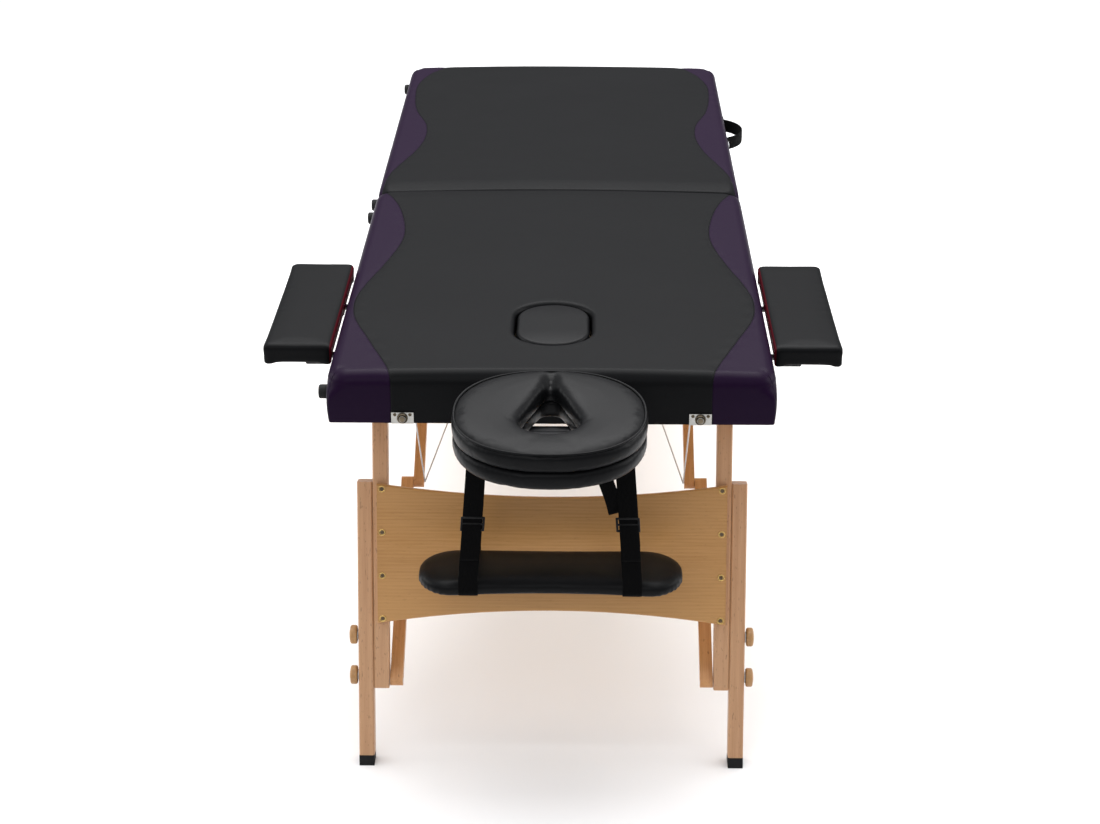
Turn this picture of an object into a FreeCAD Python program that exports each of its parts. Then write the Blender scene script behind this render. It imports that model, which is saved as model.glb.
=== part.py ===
"""Folding massage table on wooden legs, with a headrest, armrests and a hanging arm shelf.

Frame: millimetres, +Z up, floor at Z = 0, origin under the middle of the fold.
The head half lies towards -Y and the foot half towards +Y.
Pieces of a half are drawn with the fold at y = 0 and the outer end at +y, then turned into place.
"""
import FreeCAD
import Part
import math
import os
import re
from types import SimpleNamespace
from FreeCAD import Placement, Rotation, Vector

# Driving dimensions
SIZES = {
    "half_length": 930,
    "table_width": 680,
    "table_height": 660,
    "foam": 36,
    "over": 1,
    "crown": 5,
    "edge_roll": 20,
    "tuck": 2.5,
    "skirt": 4,
    "deck_thick": 4,
    "rail_depth": 40,
    "rail_thick": 14,
    "fold_gap": 1,
    "running": 0.05,
    "side_play": 0.5,
    "hinge_inset": 130,
    "hinge_rise": 20,
    "splay": 14,
    "leg_thick": 24,
    "leg_depth": 28,
    "leg_outer": 281.5,
    "leg_length": 494,
    "pin_radius": 4,
    "bolt_spacing": 66,
    "lower_bolt": 476,
    "hole_pitch": 22,
    "hole_steps": 6,
    "bolt_play": 0.3,
    "extension_top": 161,
    "foot_height": 10,
    "knob_radius": 15,
    "knob_thick": 12,
    "knob_gap": 2.5,
    "wood_ease": 2,
    "board_ease": 2,
    "board_half": 274,
    "board_thick": 10,
    "board_top": 162,
    "board_bottom": 386,
    "board_dip": 20,
    "board_arch": 22,
    "leg_pivot": 484,
    "deck_pivot": 590,
    "brace_width": 18,
    "lower_brace_thick": 20,
    "upper_brace_thick": 17,
    "block_thick": 18,
    "block_length": 44,
    "cable_radius": 1.5,
    "cable_seat": 0.3,
    "cable_end_inset": 60,
    "cable_fold_inset": 60,
    "cable_fold_side": 60,
    "bumper_radius": 11,
    "bumper_height": 16,
    "bumper_inset": 40,
    "bumper_level": 36,
    "plate_width": 34,
    "plate_height": 18,
    "plate_thick": 1.5,
    "plate_place": 225,
    "plate_lift": 1,
    "stud_radius": 5,
    "stud_height": 6,
    "leaf_length": 60,
    "leaf_width": 42,
    "leaf_thick": 2,
    "knuckle_radius": 4.5,
    "hinge_drop": 7,
    "hinge_pin_radius": 2.5,
    "fold_hinge_place": 200,
    "hole_width": 122,
    "hole_length": 186,
    "hole_inset": 212,
    "plug_gap": 3,
    "plug_seat": 0.2,
    "plug_dome": 4,
    "deck_ledge": 8,
    "peg_radius": 6,
    "bar_radius": 7,
    "peg_place": 80,
    "peg_level": 20,
    "peg_length": 50,
    "socket_block": 40,
    "bar_reach": 70,
    "bar_half": 142,
    "cap_rise": 3,
    "cap_thick": 2,
    "rest_width": 286,
    "rest_length": 282,
    "rest_gap": 15,
    "rest_tilt": 3.3,
    "rest_rise": 15.5,
    "platform_thick": 30,
    "rest_cushion": 32.5,
    "rest_roll": 9,
    "face_width": 78,
    "face_length": 150,
    "face_inset": 55,
    "face_tip": 8,
    "lug_thick": 14,
    "lug_place": 45,
    "lug_radius": 13,
    "strap_width": 29,
    "strap_thick": 1.6,
    "strap_place": 120,
    "strap_play": 0.4,
    "shelf_width": 404,
    "shelf_depth": 130,
    "shelf_thick": 26,
    "shelf_level": 354,
    "shelf_hollow": 10,
    "shelf_end": 55,
    "shelf_roll": 9,
    "arm_length": 395,
    "arm_width": 108,
    "arm_thick": 32,
    "arm_gap": 4,
    "arm_inset": 125,
    "arm_level": 46,
    "arm_block_length": 40,
    "arm_block_width": 24,
    "arm_block_inset": 10,
    "arm_roll": 7,
    "arm_draw": 1.5,
    "dowel_radius": 5,
    "dowel_spacing": 220,
    "dowel_level": 28,
    "dowel_reach": 50,
    "dowel_play": 1,
    "handle_length": 186,
    "handle_place": 512,
    "handle_width": 26,
    "handle_thick": 3,
    "handle_rise": 34,
    "handle_tab": 26,
    "handle_level": 30,
}

doc = FreeCAD.newDocument("massage_table")
sheet = doc.addObject("Spreadsheet::Sheet", "Sizes")
for row, (alias, value) in enumerate(SIZES.items(), start=1):
    sheet.set(f"A{row}", alias)
    sheet.set(f"B{row}", str(value))
    sheet.setAlias(f"B{row}", alias)
doc.recompute()
S = SimpleNamespace(**{alias: float(sheet.get(alias)) for alias in SIZES})

# Levels and places that follow from the driving dimensions
UNDERSIDE = "(table_height - foam - deck_thick - rail_depth)"
DECK_BOTTOM = "(table_height - foam - deck_thick)"
INNER_END = "(fold_gap / 2)"
FRAME_HALF = "(table_width / 2 - skirt)"
FRAME_END = "(half_length - skirt)"
RAIL_INSIDE = "(table_width / 2 - skirt - rail_thick)"
underside = S.table_height - S.foam - S.deck_thick - S.rail_depth
deck_bottom = underside + S.rail_depth
deck_top = S.table_height - S.foam
hinge_y = S.half_length - S.hinge_inset
hinge_z = underside + S.hinge_rise
splay = math.radians(S.splay)
leg_inner = S.leg_outer - S.leg_thick
extension_inner = S.leg_outer + S.side_play
extension_outer = extension_inner + S.leg_thick
upper_bolt = S.lower_bolt - S.bolt_spacing
brace_outer = leg_inner - 2 * S.side_play
lower_brace_inner = brace_outer - S.lower_brace_thick
upper_brace_outer = lower_brace_inner - S.side_play
upper_brace_inner = upper_brace_outer - S.upper_brace_thick
block_inner = upper_brace_inner - S.side_play - S.block_thick
leg_block_inner = leg_inner - S.side_play - S.block_thick

# Brace lengths: straight when the leg stands, folded back on themselves when the leg lies flat
brace_span = math.sqrt(
    S.leg_pivot ** 2 + S.deck_pivot ** 2 + 2 * S.leg_pivot * S.deck_pivot * math.sin(splay)
)
lower_brace = (brace_span - (S.deck_pivot - S.leg_pivot)) / 2
upper_brace = (brace_span + (S.deck_pivot - S.leg_pivot)) / 2
pivot_on_leg = Vector(
    0, hinge_y + S.leg_pivot * math.sin(splay), hinge_z - S.leg_pivot * math.cos(splay)
)
pivot_on_deck = Vector(0, hinge_y - S.deck_pivot, hinge_z)
brace_angle = math.degrees(
    math.atan2(pivot_on_deck.z - pivot_on_leg.z, pivot_on_deck.y - pivot_on_leg.y)
)
brace_run = (pivot_on_deck - pivot_on_leg).normalize()
elbow = pivot_on_leg + brace_run * lower_brace

ALONG_X = Rotation(Vector(0, 1, 0), 90)
ALONG_Y = Rotation(Vector(1, 0, 0), -90)
FOOT = Placement()
HEAD = Placement(Vector(), Rotation(Vector(0, 0, 1), 180))
LEG = Placement(Vector(0, hinge_y, hinge_z), Rotation(Vector(1, 0, 0), S.splay))
HALVES = {"head": HEAD, "foot": FOOT}
# Signs of the two sides as drawn; the turn of the head half swaps them
SIDES = {"head": {"left": 1, "right": -1}, "foot": {"left": -1, "right": 1}}
WORD = re.compile(r"[a-z][a-z_]*")
# Shares of the roll and of the crown that are left at the two ends of a half's upholstery
END_ROLL = 0.35
END_CROWN = 0.2
# Section of each pad, bottom to top: share of its thickness, inset as a share of its edge roll
PLUG = ((0, 0), (0.82, 0), (0.92, 0.5), (0.98, 2), (1, 5))
PLATFORM = ((0, 1), (0.4, 0), (0.8, 0), (1, 0.5))
FACE_CUSHION = ((0, 0.5), (0.2, 0), (0.55, 0), (0.8, 0.5), (0.94, 1.5), (1, 3))
STRAIGHT_HOLE = ((-0.1, 0), (1.1, 0))
FLARED_HOLE = ((-0.1, 0), (0.6, 0), (0.85, -0.25), (1.1, -1))
SHELF = ((0, 1), (0.12, 0.33), (0.35, 0), (0.65, 0), (0.85, 0.5), (0.96, 1.5), (1, 3))
ARMREST = ((0, 1), (0.15, 0.25), (0.4, 0), (0.7, 0), (0.87, 0.33), (0.96, 1), (1, 3))
nodes = []


def bind(item, prop, text):
    """Tie a property to the size sheet."""
    item.setExpression(prop, WORD.sub(lambda m: "Sizes." + m[0] if m[0] in SIZES else m[0], text))


def box(name, size, corner):
    """A block whose sizes and corner are expressions of the sheet."""
    block = doc.addObject("Part::Box", name)
    for prop, text in zip(("Length", "Width", "Height"), size):
        bind(block, prop, text)
    for axis, text in zip("xyz", corner):
        bind(block, "Placement.Base." + axis, text)
    return block


def rod(name, radius, length, start, direction):
    """A round bar from start along a direction."""
    bar = doc.addObject("Part::Cylinder", name)
    bind(bar, "Radius", radius)
    bind(bar, "Height", length)
    bar.Placement = Placement(Vector(), direction)
    for axis, text in zip("xyz", start):
        bind(bar, "Placement.Base." + axis, text)
    return bar


def cut(name, base, tools):
    """Take the tools away from the base."""
    result = doc.addObject("Part::Cut", name)
    result.Base = base
    result.Tool = group(name + "_tools", tools) if len(tools) > 1 else tools[0]
    return result


def group(name, items):
    """Separate solids kept together under one name."""
    result = doc.addObject("Part::Compound", name)
    result.Links = items
    return result


def fuse(name, items):
    """Join pieces that are glued or formed as one."""
    result = doc.addObject("Part::MultiFuse", name)
    result.Shapes = items
    result.Refine = True
    return result


def outline(body, name, plane, edges):
    """A sketch on one of the body's own planes."""
    sketch = body.newObject("Sketcher::SketchObject", name)
    support = next(item for item in body.Origin.OriginFeatures if item.Role == plane)
    sketch.AttachmentSupport = [(support, "")]
    sketch.MapMode = "FlatFace"
    for edge in edges:
        sketch.addGeometry(edge, False)
    return sketch


def plate(name, plane, edges, length):
    """A body padded from an outline on one of its planes."""
    body = doc.addObject("PartDesign::Body", name)
    pad = body.newObject("PartDesign::Pad", name + "_pad")
    pad.Profile = outline(body, name + "_outline", plane, edges)
    bind(pad, "Length", length)
    body.Tip = pad
    return body


def bevelled(body, size, pick):
    """Bevel the edges of a body that pick chooses."""
    doc.recompute()
    base = body.Tip
    chosen = [f"Edge{i}" for i, edge in enumerate(base.Shape.Edges, start=1) if pick(edge)]
    bevel = body.newObject("PartDesign::Chamfer", body.Name + "_bevel")
    bevel.Base = (base, chosen)
    bind(bevel, "Size", size)
    body.Tip = bevel
    return body


def keep(label, item, place=Placement()):
    """Name a finished piece and put it in its place."""
    item.Label = label
    item.Placement = place.multiply(item.Placement)
    nodes.append(item)
    return item


def line(start, end):
    """A straight sketch edge."""
    return Part.LineSegment(Vector(*start, 0), Vector(*end, 0))


def arc(start, through, end):
    """A round sketch edge through three points."""
    return Part.Arc(Vector(*start, 0), Vector(*through, 0), Vector(*end, 0))


def ring(x, y, radius):
    """A round sketch hole."""
    return Part.Circle(Vector(x, y, 0), Vector(0, 0, 1), radius)


def polygon(points):
    """Straight sketch edges round a closed outline."""
    return [line(a, b) for a, b in zip(points, points[1:] + points[:1])]


def capsule(length, radius):
    """Outline of a bar with round ends, from pivot to pivot along the first axis."""
    return [
        line((0, radius), (length, radius)),
        arc((length, radius), (length + radius, 0), (length, -radius)),
        line((length, -radius), (0, -radius)),
        arc((0, -radius), (-radius, 0), (0, radius)),
    ]


def level_wire(edges, level):
    """A closed outline lifted to a level."""
    wire = Part.Wire([edge.toShape() for edge in edges])
    wire.translate(Vector(0, 0, level))
    return wire


def pad_form(name, draw, thick, section, roll):
    """A pad lofted through its outline at the levels and insets of a section."""
    wires = [level_wire(draw(-inset * roll), share * thick) for share, inset in section]
    form = doc.addObject("Part::Feature", name)
    form.Shape = Part.makeLoft(wires, True, True)
    return form


def quarters(centre, across, along):
    """A closed oval of four arcs round a centre."""
    diagonal = math.sqrt(0.5)
    points = [
        (across * math.cos(turn), centre + along * math.sin(turn))
        for turn in (0, math.pi / 2, math.pi, 3 * math.pi / 2)
    ]
    middles = [
        (across * diagonal * a, centre + along * diagonal * b)
        for a, b in ((1, 1), (-1, 1), (-1, -1), (1, -1))
    ]
    return [arc(points[i], middles[i], points[(i + 1) % 4]) for i in range(4)]


def stadium(grow):
    """Outline of the face plug, its round ends in quarter arcs, grown by an amount."""
    radius = S.hole_width / 2 - S.plug_gap + grow
    reach = (S.hole_length - S.hole_width) / 2
    bend = radius * math.sqrt(0.5)
    return [
        line((radius, -reach), (radius, reach)),
        arc((radius, reach), (bend, reach + bend), (0, reach + radius)),
        arc((0, reach + radius), (-bend, reach + bend), (-radius, reach)),
        line((-radius, reach), (-radius, -reach)),
        arc((-radius, -reach), (-bend, -reach - bend), (0, -reach - radius)),
        arc((0, -reach - radius), (bend, -reach - bend), (radius, -reach)),
    ]


def oval_tool(name, grow, bottom, height):
    """The face hole's oval, grown by an amount, as a solid to cut with or to keep."""
    radius = S.hole_width / 2 + grow
    straight = S.hole_length - S.hole_width
    body = plate(name, "XY_Plane", capsule(straight, radius), height)
    first = Vector(0, S.half_length - S.hole_inset - straight / 2, bottom)
    body.Placement = Placement(first, Rotation(Vector(0, 0, 1), 90))
    return body


def cushion_ring(y, half_width, top, crown, radius):
    """Cross-section of a half's upholstery: tucked sides, rolled edges and a crowned top."""
    rise = radius * (1 - math.sqrt(0.5))
    foot = half_width - S.tuck
    points = [
        Vector(-foot, y, underside),
        Vector(foot, y, underside),
        Vector(half_width, y, top - radius),
        Vector(half_width - radius, y, top),
        Vector(-half_width + radius, y, top),
        Vector(-half_width, y, top - radius),
    ]
    edges = [
        Part.LineSegment(points[0], points[1]),
        Part.LineSegment(points[1], points[2]),
        Part.Arc(points[2], Vector(half_width - rise, y, top - rise), points[3]),
        Part.Arc(points[3], Vector(0, y, top + crown), points[4]),
        Part.Arc(points[4], Vector(-half_width + rise, y, top - rise), points[5]),
        Part.LineSegment(points[5], points[0]),
    ]
    return Part.Wire([edge.toShape() for edge in edges])


def cushion_form(name):
    """Upholstery of a half, from the rolled edge at the fold to the rolled outer end."""
    roll = S.edge_roll
    start = S.fold_gap / 2
    steps = [math.radians(angle) for angle in (0, 30, 60, 90)]
    rolled = [(roll * (1 - math.cos(a)), roll * (1 - math.sin(a)), math.sin(a)) for a in steps]
    stations = [(start + along, drop, share) for along, drop, share in rolled]
    stations += [(S.half_length - along, drop, share) for along, drop, share in reversed(rolled)]
    wires = []
    for y, drop, share in stations:
        radius = roll * (END_ROLL + (1 - END_ROLL) * share)
        crown = S.crown * (END_CROWN + (1 - END_CROWN) * share)
        wires.append(cushion_ring(y, S.table_width / 2, S.table_height - drop, crown, radius))
    form = doc.addObject("Part::Feature", name)
    form.Shape = Part.makeLoft(wires, True, True)
    return form


def socket_tools(name):
    """Bores for the headrest's pegs and the armrests' dowels in the head half."""
    tools = []
    for side, sign in SIDES["head"].items():
        tools.append(rod(
            f"{name}_{side}_peg", "peg_radius + running",
            "rail_thick + skirt + socket_block + 2 * over",
            (f"{sign} * peg_place", "half_length - rail_thick - skirt - socket_block - over",
             UNDERSIDE + " + peg_level"), ALONG_Y,
        ))
        for number, step in enumerate((-1, 1), start=1):
            inward = " - rail_thick - skirt - over" if sign > 0 else " - over"
            x = f"{sign} * table_width / 2" + inward
            tools.append(rod(
                f"{name}_{side}_dowel_{number}", "dowel_radius + running",
                "rail_thick + skirt + 2 * over",
                (x, f"half_length - arm_inset - arm_length / 2 + {step} * dowel_spacing / 2",
                 UNDERSIDE + " + dowel_level"), ALONG_X,
            ))
    return tools


def make_top(half, place):
    """Rail frame, deck and upholstery of one half."""
    outer = box(
        f"{half}_frame_outer",
        (f"2 * {FRAME_HALF}", f"{FRAME_END} - {INNER_END} - skirt", "rail_depth"),
        (f"-{FRAME_HALF}", f"{INNER_END} + skirt", UNDERSIDE),
    )
    inner = box(
        f"{half}_frame_inner",
        (f"2 * {RAIL_INSIDE}", f"{FRAME_END} - {INNER_END} - skirt - 2 * rail_thick",
         "rail_depth + 2 * over"),
        (f"-{RAIL_INSIDE}", f"{INNER_END} + skirt + rail_thick", UNDERSIDE + " - over"),
    )
    sockets = socket_tools(half + "_frame_socket") if half == "head" else []
    keep(f"{half}_frame", cut(f"{half}_frame_cut", outer, [inner] + sockets), place)

    deck = box(
        f"{half}_deck_panel",
        (f"2 * {FRAME_HALF}", f"{FRAME_END} - {INNER_END} - skirt", "deck_thick"),
        (f"-{FRAME_HALF}", f"{INNER_END} + skirt", DECK_BOTTOM),
    )
    core = box(
        f"{half}_cushion_core",
        (f"2 * {FRAME_HALF}", f"{FRAME_END} - {INNER_END} - skirt", "rail_depth + deck_thick + over"),
        (f"-{FRAME_HALF}", f"{INNER_END} + skirt", UNDERSIDE + " - over"),
    )
    tools = [core]
    if half == "head":
        hole = oval_tool("deck_face_hole", -S.deck_ledge, deck_bottom - S.over, "deck_thick + 2 * over")
        deck = cut("head_deck_cut", deck, [hole])
        tools.append(oval_tool("cushion_face_hole", 0, deck_top - S.over, "foam + 2 * crown"))
        tools += socket_tools("head_cushion_socket")
    keep(f"{half}_deck", deck, place)
    cushion = cut(f"{half}_cushion_cut", cushion_form(f"{half}_cushion_form"), tools)
    keep(f"{half}_cushion", cushion, place)


def make_plug():
    """Oval pad that closes the face hole, with a softly domed top."""
    pad = pad_form("face_plug_form", stadium, S.foam + S.crown - S.plug_seat, PLUG, S.plug_dome)
    pad.Placement.Base = Vector(0, S.half_length - S.hole_inset, deck_top + S.plug_seat)
    keep("face_plug", pad, HEAD)


def make_leg_frame(half, place):
    """Inner legs, crossboard and bolts of one half; they swing as one frame."""
    leg_place = place.multiply(LEG)
    radius = S.leg_depth / 2
    pivot = ring(0, 0, S.pin_radius + S.running)
    bolts = []
    for side, sign in SIDES[half].items():
        edges = [
            line((-radius, 0), (-radius, -S.leg_length)),
            line((-radius, -S.leg_length), (radius, -S.leg_length)),
            line((radius, -S.leg_length), (radius, 0)),
            arc((radius, 0), (0, radius), (-radius, 0)),
        ]
        leg = plate(f"{half}_{side}_leg_body", "YZ_Plane", edges + [pivot], "leg_thick")
        bevelled(leg, "wood_ease", lambda edge: edge.Length > S.leg_length / 2)
        leg.Placement.Base.x = leg_inner if sign > 0 else -S.leg_outer
        keep(f"{half}_{side}_leg", leg, leg_place)
        reach = "side_play + leg_thick + knob_gap + knob_thick"
        start = "leg_outer" if sign > 0 else f"-leg_outer - ({reach})"
        for name, level in (("upper", "lower_bolt - bolt_spacing"), ("lower", "lower_bolt")):
            spot = (start, "0", f"-({level})")
            bolts.append(rod(f"{half}_{side}_{name}_bolt", "pin_radius", reach, spot, ALONG_X))
        pin = "2 * side_play + lower_brace_thick"
        start = f"leg_outer - leg_thick - ({pin})" if sign > 0 else "-leg_outer + leg_thick"
        spot = (start, "0", "-leg_pivot")
        bolts.append(rod(f"{half}_{side}_brace_bolt", "pin_radius", pin, spot, ALONG_X))
    keep(f"{half}_leg_bolts", group(f"{half}_leg_bolt_group", bolts), leg_place)

    reach = S.board_half
    top, bottom = -S.board_top, -S.board_bottom
    edges = [
        line((-reach, bottom), (-reach, top)),
        arc((-reach, top), (0, top - S.board_dip), (reach, top)),
        line((reach, top), (reach, bottom)),
        arc((reach, bottom), (0, bottom + S.board_arch), (-reach, bottom)),
    ]
    board = plate(f"{half}_crossboard_body", "XZ_Plane", edges, "board_thick")
    bevelled(board, "board_ease", lambda edge: edge.Length > S.board_half)
    board.Placement.Base.y = S.leg_depth / 2 + S.board_thick
    keep(f"{half}_crossboard", board, leg_place)


def make_extensions(half, place):
    """Outer legs with their row of holes, and the rubber feet cut level with the floor."""
    leg_place = place.multiply(LEG)
    radius = S.leg_depth / 2
    floor = [(hinge_z + y * math.sin(splay)) / math.cos(splay) for y in (-radius, radius)]
    end = floor[0] - S.foot_height
    last = round(S.bolt_spacing / S.hole_pitch) + round(S.hole_steps)
    holes = [S.lower_bolt - number * S.hole_pitch for number in range(last + 1)]
    feet = []
    for side, sign in SIDES[half].items():
        start = extension_inner if sign > 0 else -extension_outer
        top = S.extension_top
        edges = polygon([(-radius, -top), (radius, -top), (radius, -end), (-radius, -end)])
        edges += [ring(0, -hole, S.pin_radius + S.bolt_play) for hole in holes]
        outer = plate(f"{half}_{side}_extension_body", "YZ_Plane", edges, "leg_thick")
        bevelled(outer, "wood_ease", lambda edge: edge.Length > S.leg_length / 2)
        outer.Placement.Base.x = start
        keep(f"{half}_{side}_extension", outer, leg_place)
        edges = polygon([(-radius, -end), (radius, -end), (radius, -floor[1]), (-radius, -floor[0])])
        foot = plate(f"{half}_{side}_foot_body", "YZ_Plane", edges, "leg_thick")
        foot.Placement.Base.x = start
        feet.append(foot)
    keep(f"{half}_feet", group(f"{half}_foot_group", feet), leg_place)


def make_knobs(half, place):
    """Turned wooden knobs on the ends of the leg bolts."""
    leg_place = place.multiply(LEG)
    for side, sign in SIDES[half].items():
        for name, level in (("upper", upper_bolt), ("lower", S.lower_bolt)):
            edges = [ring(0, 0, S.knob_radius), ring(0, 0, S.pin_radius + S.running)]
            knob = plate(f"{half}_{side}_{name}_knob_body", "YZ_Plane", edges, "knob_thick")
            rim = 2 * math.pi * S.knob_radius
            bevelled(knob, "knob_thick / 4", lambda edge: edge.Length > rim / 2)
            start = extension_outer + S.knob_gap
            knob.Placement.Base = Vector(start if sign > 0 else -start - S.knob_thick, 0, -level)
            keep(f"{half}_{side}_{name}_knob", knob, leg_place)


def make_braces(half, place):
    """Two-part folding braces, their blocks under the deck and the pins they turn on."""
    width = S.brace_width / 2
    lower, upper, blocks, deck_blocks, pins = [], [], [], [], []
    for side, sign in SIDES[half].items():
        hole = ring(0, 0, S.pin_radius + S.running)
        edges = capsule(lower_brace, width) + [hole]
        strut = plate(f"{half}_{side}_lower_brace", "YZ_Plane", edges, "lower_brace_thick")
        strut.Placement = Placement(
            pivot_on_leg + Vector(lower_brace_inner if sign > 0 else -brace_outer, 0, 0),
            Rotation(Vector(1, 0, 0), brace_angle))
        lower.append(strut)

        edges = capsule(upper_brace, width) + [hole]
        strut = plate(f"{half}_{side}_upper_brace", "YZ_Plane", edges, "upper_brace_thick")
        strut.Placement = Placement(
            pivot_on_deck + Vector(upper_brace_inner if sign > 0 else -upper_brace_outer, 0, 0),
            Rotation(Vector(1, 0, 0), brace_angle + 180))
        upper.append(strut)

        rise = S.rail_depth - S.hinge_rise
        half_block = S.block_length / 2
        profile = [
            line((-half_block, rise), (-S.leg_depth / 2, -S.leg_depth / 2)),
            line((-S.leg_depth / 2, -S.leg_depth / 2), (S.leg_depth / 2, -S.leg_depth / 2)),
            line((S.leg_depth / 2, -S.leg_depth / 2), (half_block, rise)),
            line((half_block, rise), (-half_block, rise)),
        ]
        for kind, start, y, found in (
            ("leg", leg_block_inner, hinge_y, blocks),
            ("brace", block_inner, pivot_on_deck.y, deck_blocks),
        ):
            block = plate(f"{half}_{side}_{kind}_block", "YZ_Plane", profile, "block_thick")
            block.Placement.Base = Vector(start if sign > 0 else -start - S.block_thick, y, hinge_z)
            found.append(block)
        reach = "side_play + leg_thick"
        start = f"leg_outer - ({reach})" if sign > 0 else "-leg_outer"
        level = UNDERSIDE + " + hinge_rise"
        pins.append(rod(f"{half}_{side}_leg_pin", "pin_radius", reach,
                        (start, "half_length - hinge_inset", level), ALONG_X))
        reach = "side_play + upper_brace_thick"
        outer = "(leg_outer - leg_thick - 3 * side_play - lower_brace_thick)"
        start = f"{outer} - ({reach})" if sign > 0 else f"-{outer}"
        pins.append(rod(f"{half}_{side}_brace_pin", "pin_radius", reach,
                        (start, "half_length - hinge_inset - deck_pivot", level), ALONG_X))
    keep(f"{half}_lower_braces", group(f"{half}_lower_brace_pair", lower), place)
    keep(f"{half}_upper_braces", group(f"{half}_upper_brace_pair", upper), place)
    keep(f"{half}_leg_blocks", group(f"{half}_leg_block_pair", blocks), place)
    keep(f"{half}_brace_blocks", group(f"{half}_brace_block_pair", deck_blocks), place)
    keep(f"{half}_pivot_pins", group(f"{half}_pivot_pin_group", pins), place)


def make_cables(half, place):
    """Steel stay cables from each brace elbow to the end rail and to the fold."""
    cables = []
    for side, sign in SIDES[half].items():
        x = sign * (upper_brace_inner - S.cable_radius - S.cable_seat)
        start = Vector(x, elbow.y, elbow.z)
        ends = {
            "end": Vector(x, S.half_length - S.cable_end_inset, deck_bottom),
            "fold": Vector(sign * S.cable_fold_side, S.cable_fold_inset, deck_bottom),
        }
        for name, end in ends.items():
            run = end - start
            rise = run.z / run.Length
            lead = 2 * S.cable_radius
            stop = (S.cable_seat + S.cable_radius * math.sqrt(1 - rise ** 2)) / rise
            cable = doc.addObject("Part::Cylinder", f"{half}_{side}_{name}_cable")
            bind(cable, "Radius", "cable_radius")
            cable.Height = run.Length - lead - stop
            step = Vector(run).normalize() * lead
            cable.Placement = Placement(start + step, Rotation(Vector(0, 0, 1), run))
            cables.append(cable)
    keep(f"{half}_cables", group(f"{half}_cable_group", cables), place)


def make_trim(half, place):
    """Rubber case bumpers on the left side, and the closing plates on the outer end."""
    sign = 1 if half == "head" else -1
    bumpers = []
    for name, where in (("fold", "bumper_inset"), ("end", "half_length - bumper_inset")):
        x = "table_width / 2 - tuck" if sign > 0 else "-table_width / 2 - bumper_height"
        bumpers.append(rod(f"{half}_{name}_bumper", "bumper_radius", "bumper_height + tuck",
                           (x, where, UNDERSIDE + " + bumper_level"), ALONG_X))
    shell = cushion_form(f"{half}_bumper_seat")
    seated = [cut(f"{half}_bumper_{number}", bumper, [shell]) for number, bumper in enumerate(bumpers)]
    keep(f"{half}_bumpers", group(f"{half}_bumper_pair", seated), place)

    plates = []
    for side, sign in SIDES[half].items():
        flat = box(f"{half}_{side}_catch_flat", ("plate_width", "plate_thick", "plate_height"),
                   (f"{sign} * plate_place - plate_width / 2", "half_length",
                    UNDERSIDE + " + plate_lift"))
        stud = rod(f"{half}_{side}_catch_stud", "stud_radius", "stud_height",
                   (f"{sign} * plate_place", "half_length + plate_thick / 2",
                    UNDERSIDE + " + plate_lift + plate_height / 2"), ALONG_Y)
        plates.append(fuse(f"{half}_{side}_catch", [flat, stud]))
    keep(f"{half}_catch_plates", group(f"{half}_catch_pair", plates), place)


def make_fold_hinges():
    """Leaves screwed under the two halves, and the pins they turn on."""
    axis = UNDERSIDE + " - hinge_drop"
    third = "leaf_length / 3"
    pins = []
    leaves = {"head": [], "foot": []}
    for side, sign in SIDES["foot"].items():
        middle = f"({sign} * fold_hinge_place)"
        pins.append(rod(f"{side}_hinge_pin", "hinge_pin_radius", "leaf_length",
                        (f"{middle} - leaf_length / 2", "0", axis), ALONG_X))
        for half, direction in (("head", -1), ("foot", 1)):
            start = "-leaf_width - knuckle_radius" if direction < 0 else "knuckle_radius"
            flat = box(f"{half}_{side}_leaf", ("leaf_length", "leaf_width", "leaf_thick"),
                       (f"{middle} - leaf_length / 2", start, UNDERSIDE + " - leaf_thick"))
            places = (0,) if half == "head" else (-1, 1)
            pieces = [flat]
            for number, step in enumerate(places):
                gap = "side_play / 2"
                x = f"{middle} + ({step} - 0.5) * {third} + {gap}"
                wide = f"{third} - 2 * {gap}"
                knuckle = f"{half}_{side}_knuckle_{number}"
                pieces.append(rod(knuckle, "knuckle_radius", wide, (x, "0", axis), ALONG_X))
                web = "-knuckle_radius - over" if direction < 0 else "0"
                size = (wide, "knuckle_radius + over", "hinge_drop")
                pieces.append(box(f"{half}_{side}_web_{number}", size, (x, web, axis)))
            bore = rod(f"{half}_{side}_hinge_bore", "hinge_pin_radius + running",
                       "leaf_length + 2 * over",
                       (f"{middle} - leaf_length / 2 - over", "0", axis), ALONG_X)
            blank = fuse(f"{half}_{side}_leaf_blank", pieces)
            leaves[half].append(cut(f"{half}_{side}_hinge_leaf", blank, [bore]))
    for half, pair in leaves.items():
        keep(f"{half}_hinge_leaves", group(f"{half}_leaf_pair", pair))
    keep("hinge_pins", group("hinge_pin_pair", pins))


def teardrop(start, length, width, tip):
    """Face opening: a round end outwards, drawn to a small round tip towards the table."""
    big = width / 2
    centre = start + length - big
    small_centre = start + tip
    lean = math.asin((big - tip) / (centre - small_centre))
    bend = math.sqrt(0.5)
    out = Vector(math.cos(lean), -math.sin(lean))
    near = (big * out.x, centre + big * out.y)
    far = (tip * out.x, small_centre + tip * out.y)
    return [
        arc((-near[0], near[1]), (-big * bend, centre + big * bend), (0, centre + big)),
        arc((0, centre + big), (big * bend, centre + big * bend), near),
        line(near, far),
        arc(far, (0, start), (-far[0], far[1])),
        line((-far[0], far[1]), (-near[0], near[1])),
    ]


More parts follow.
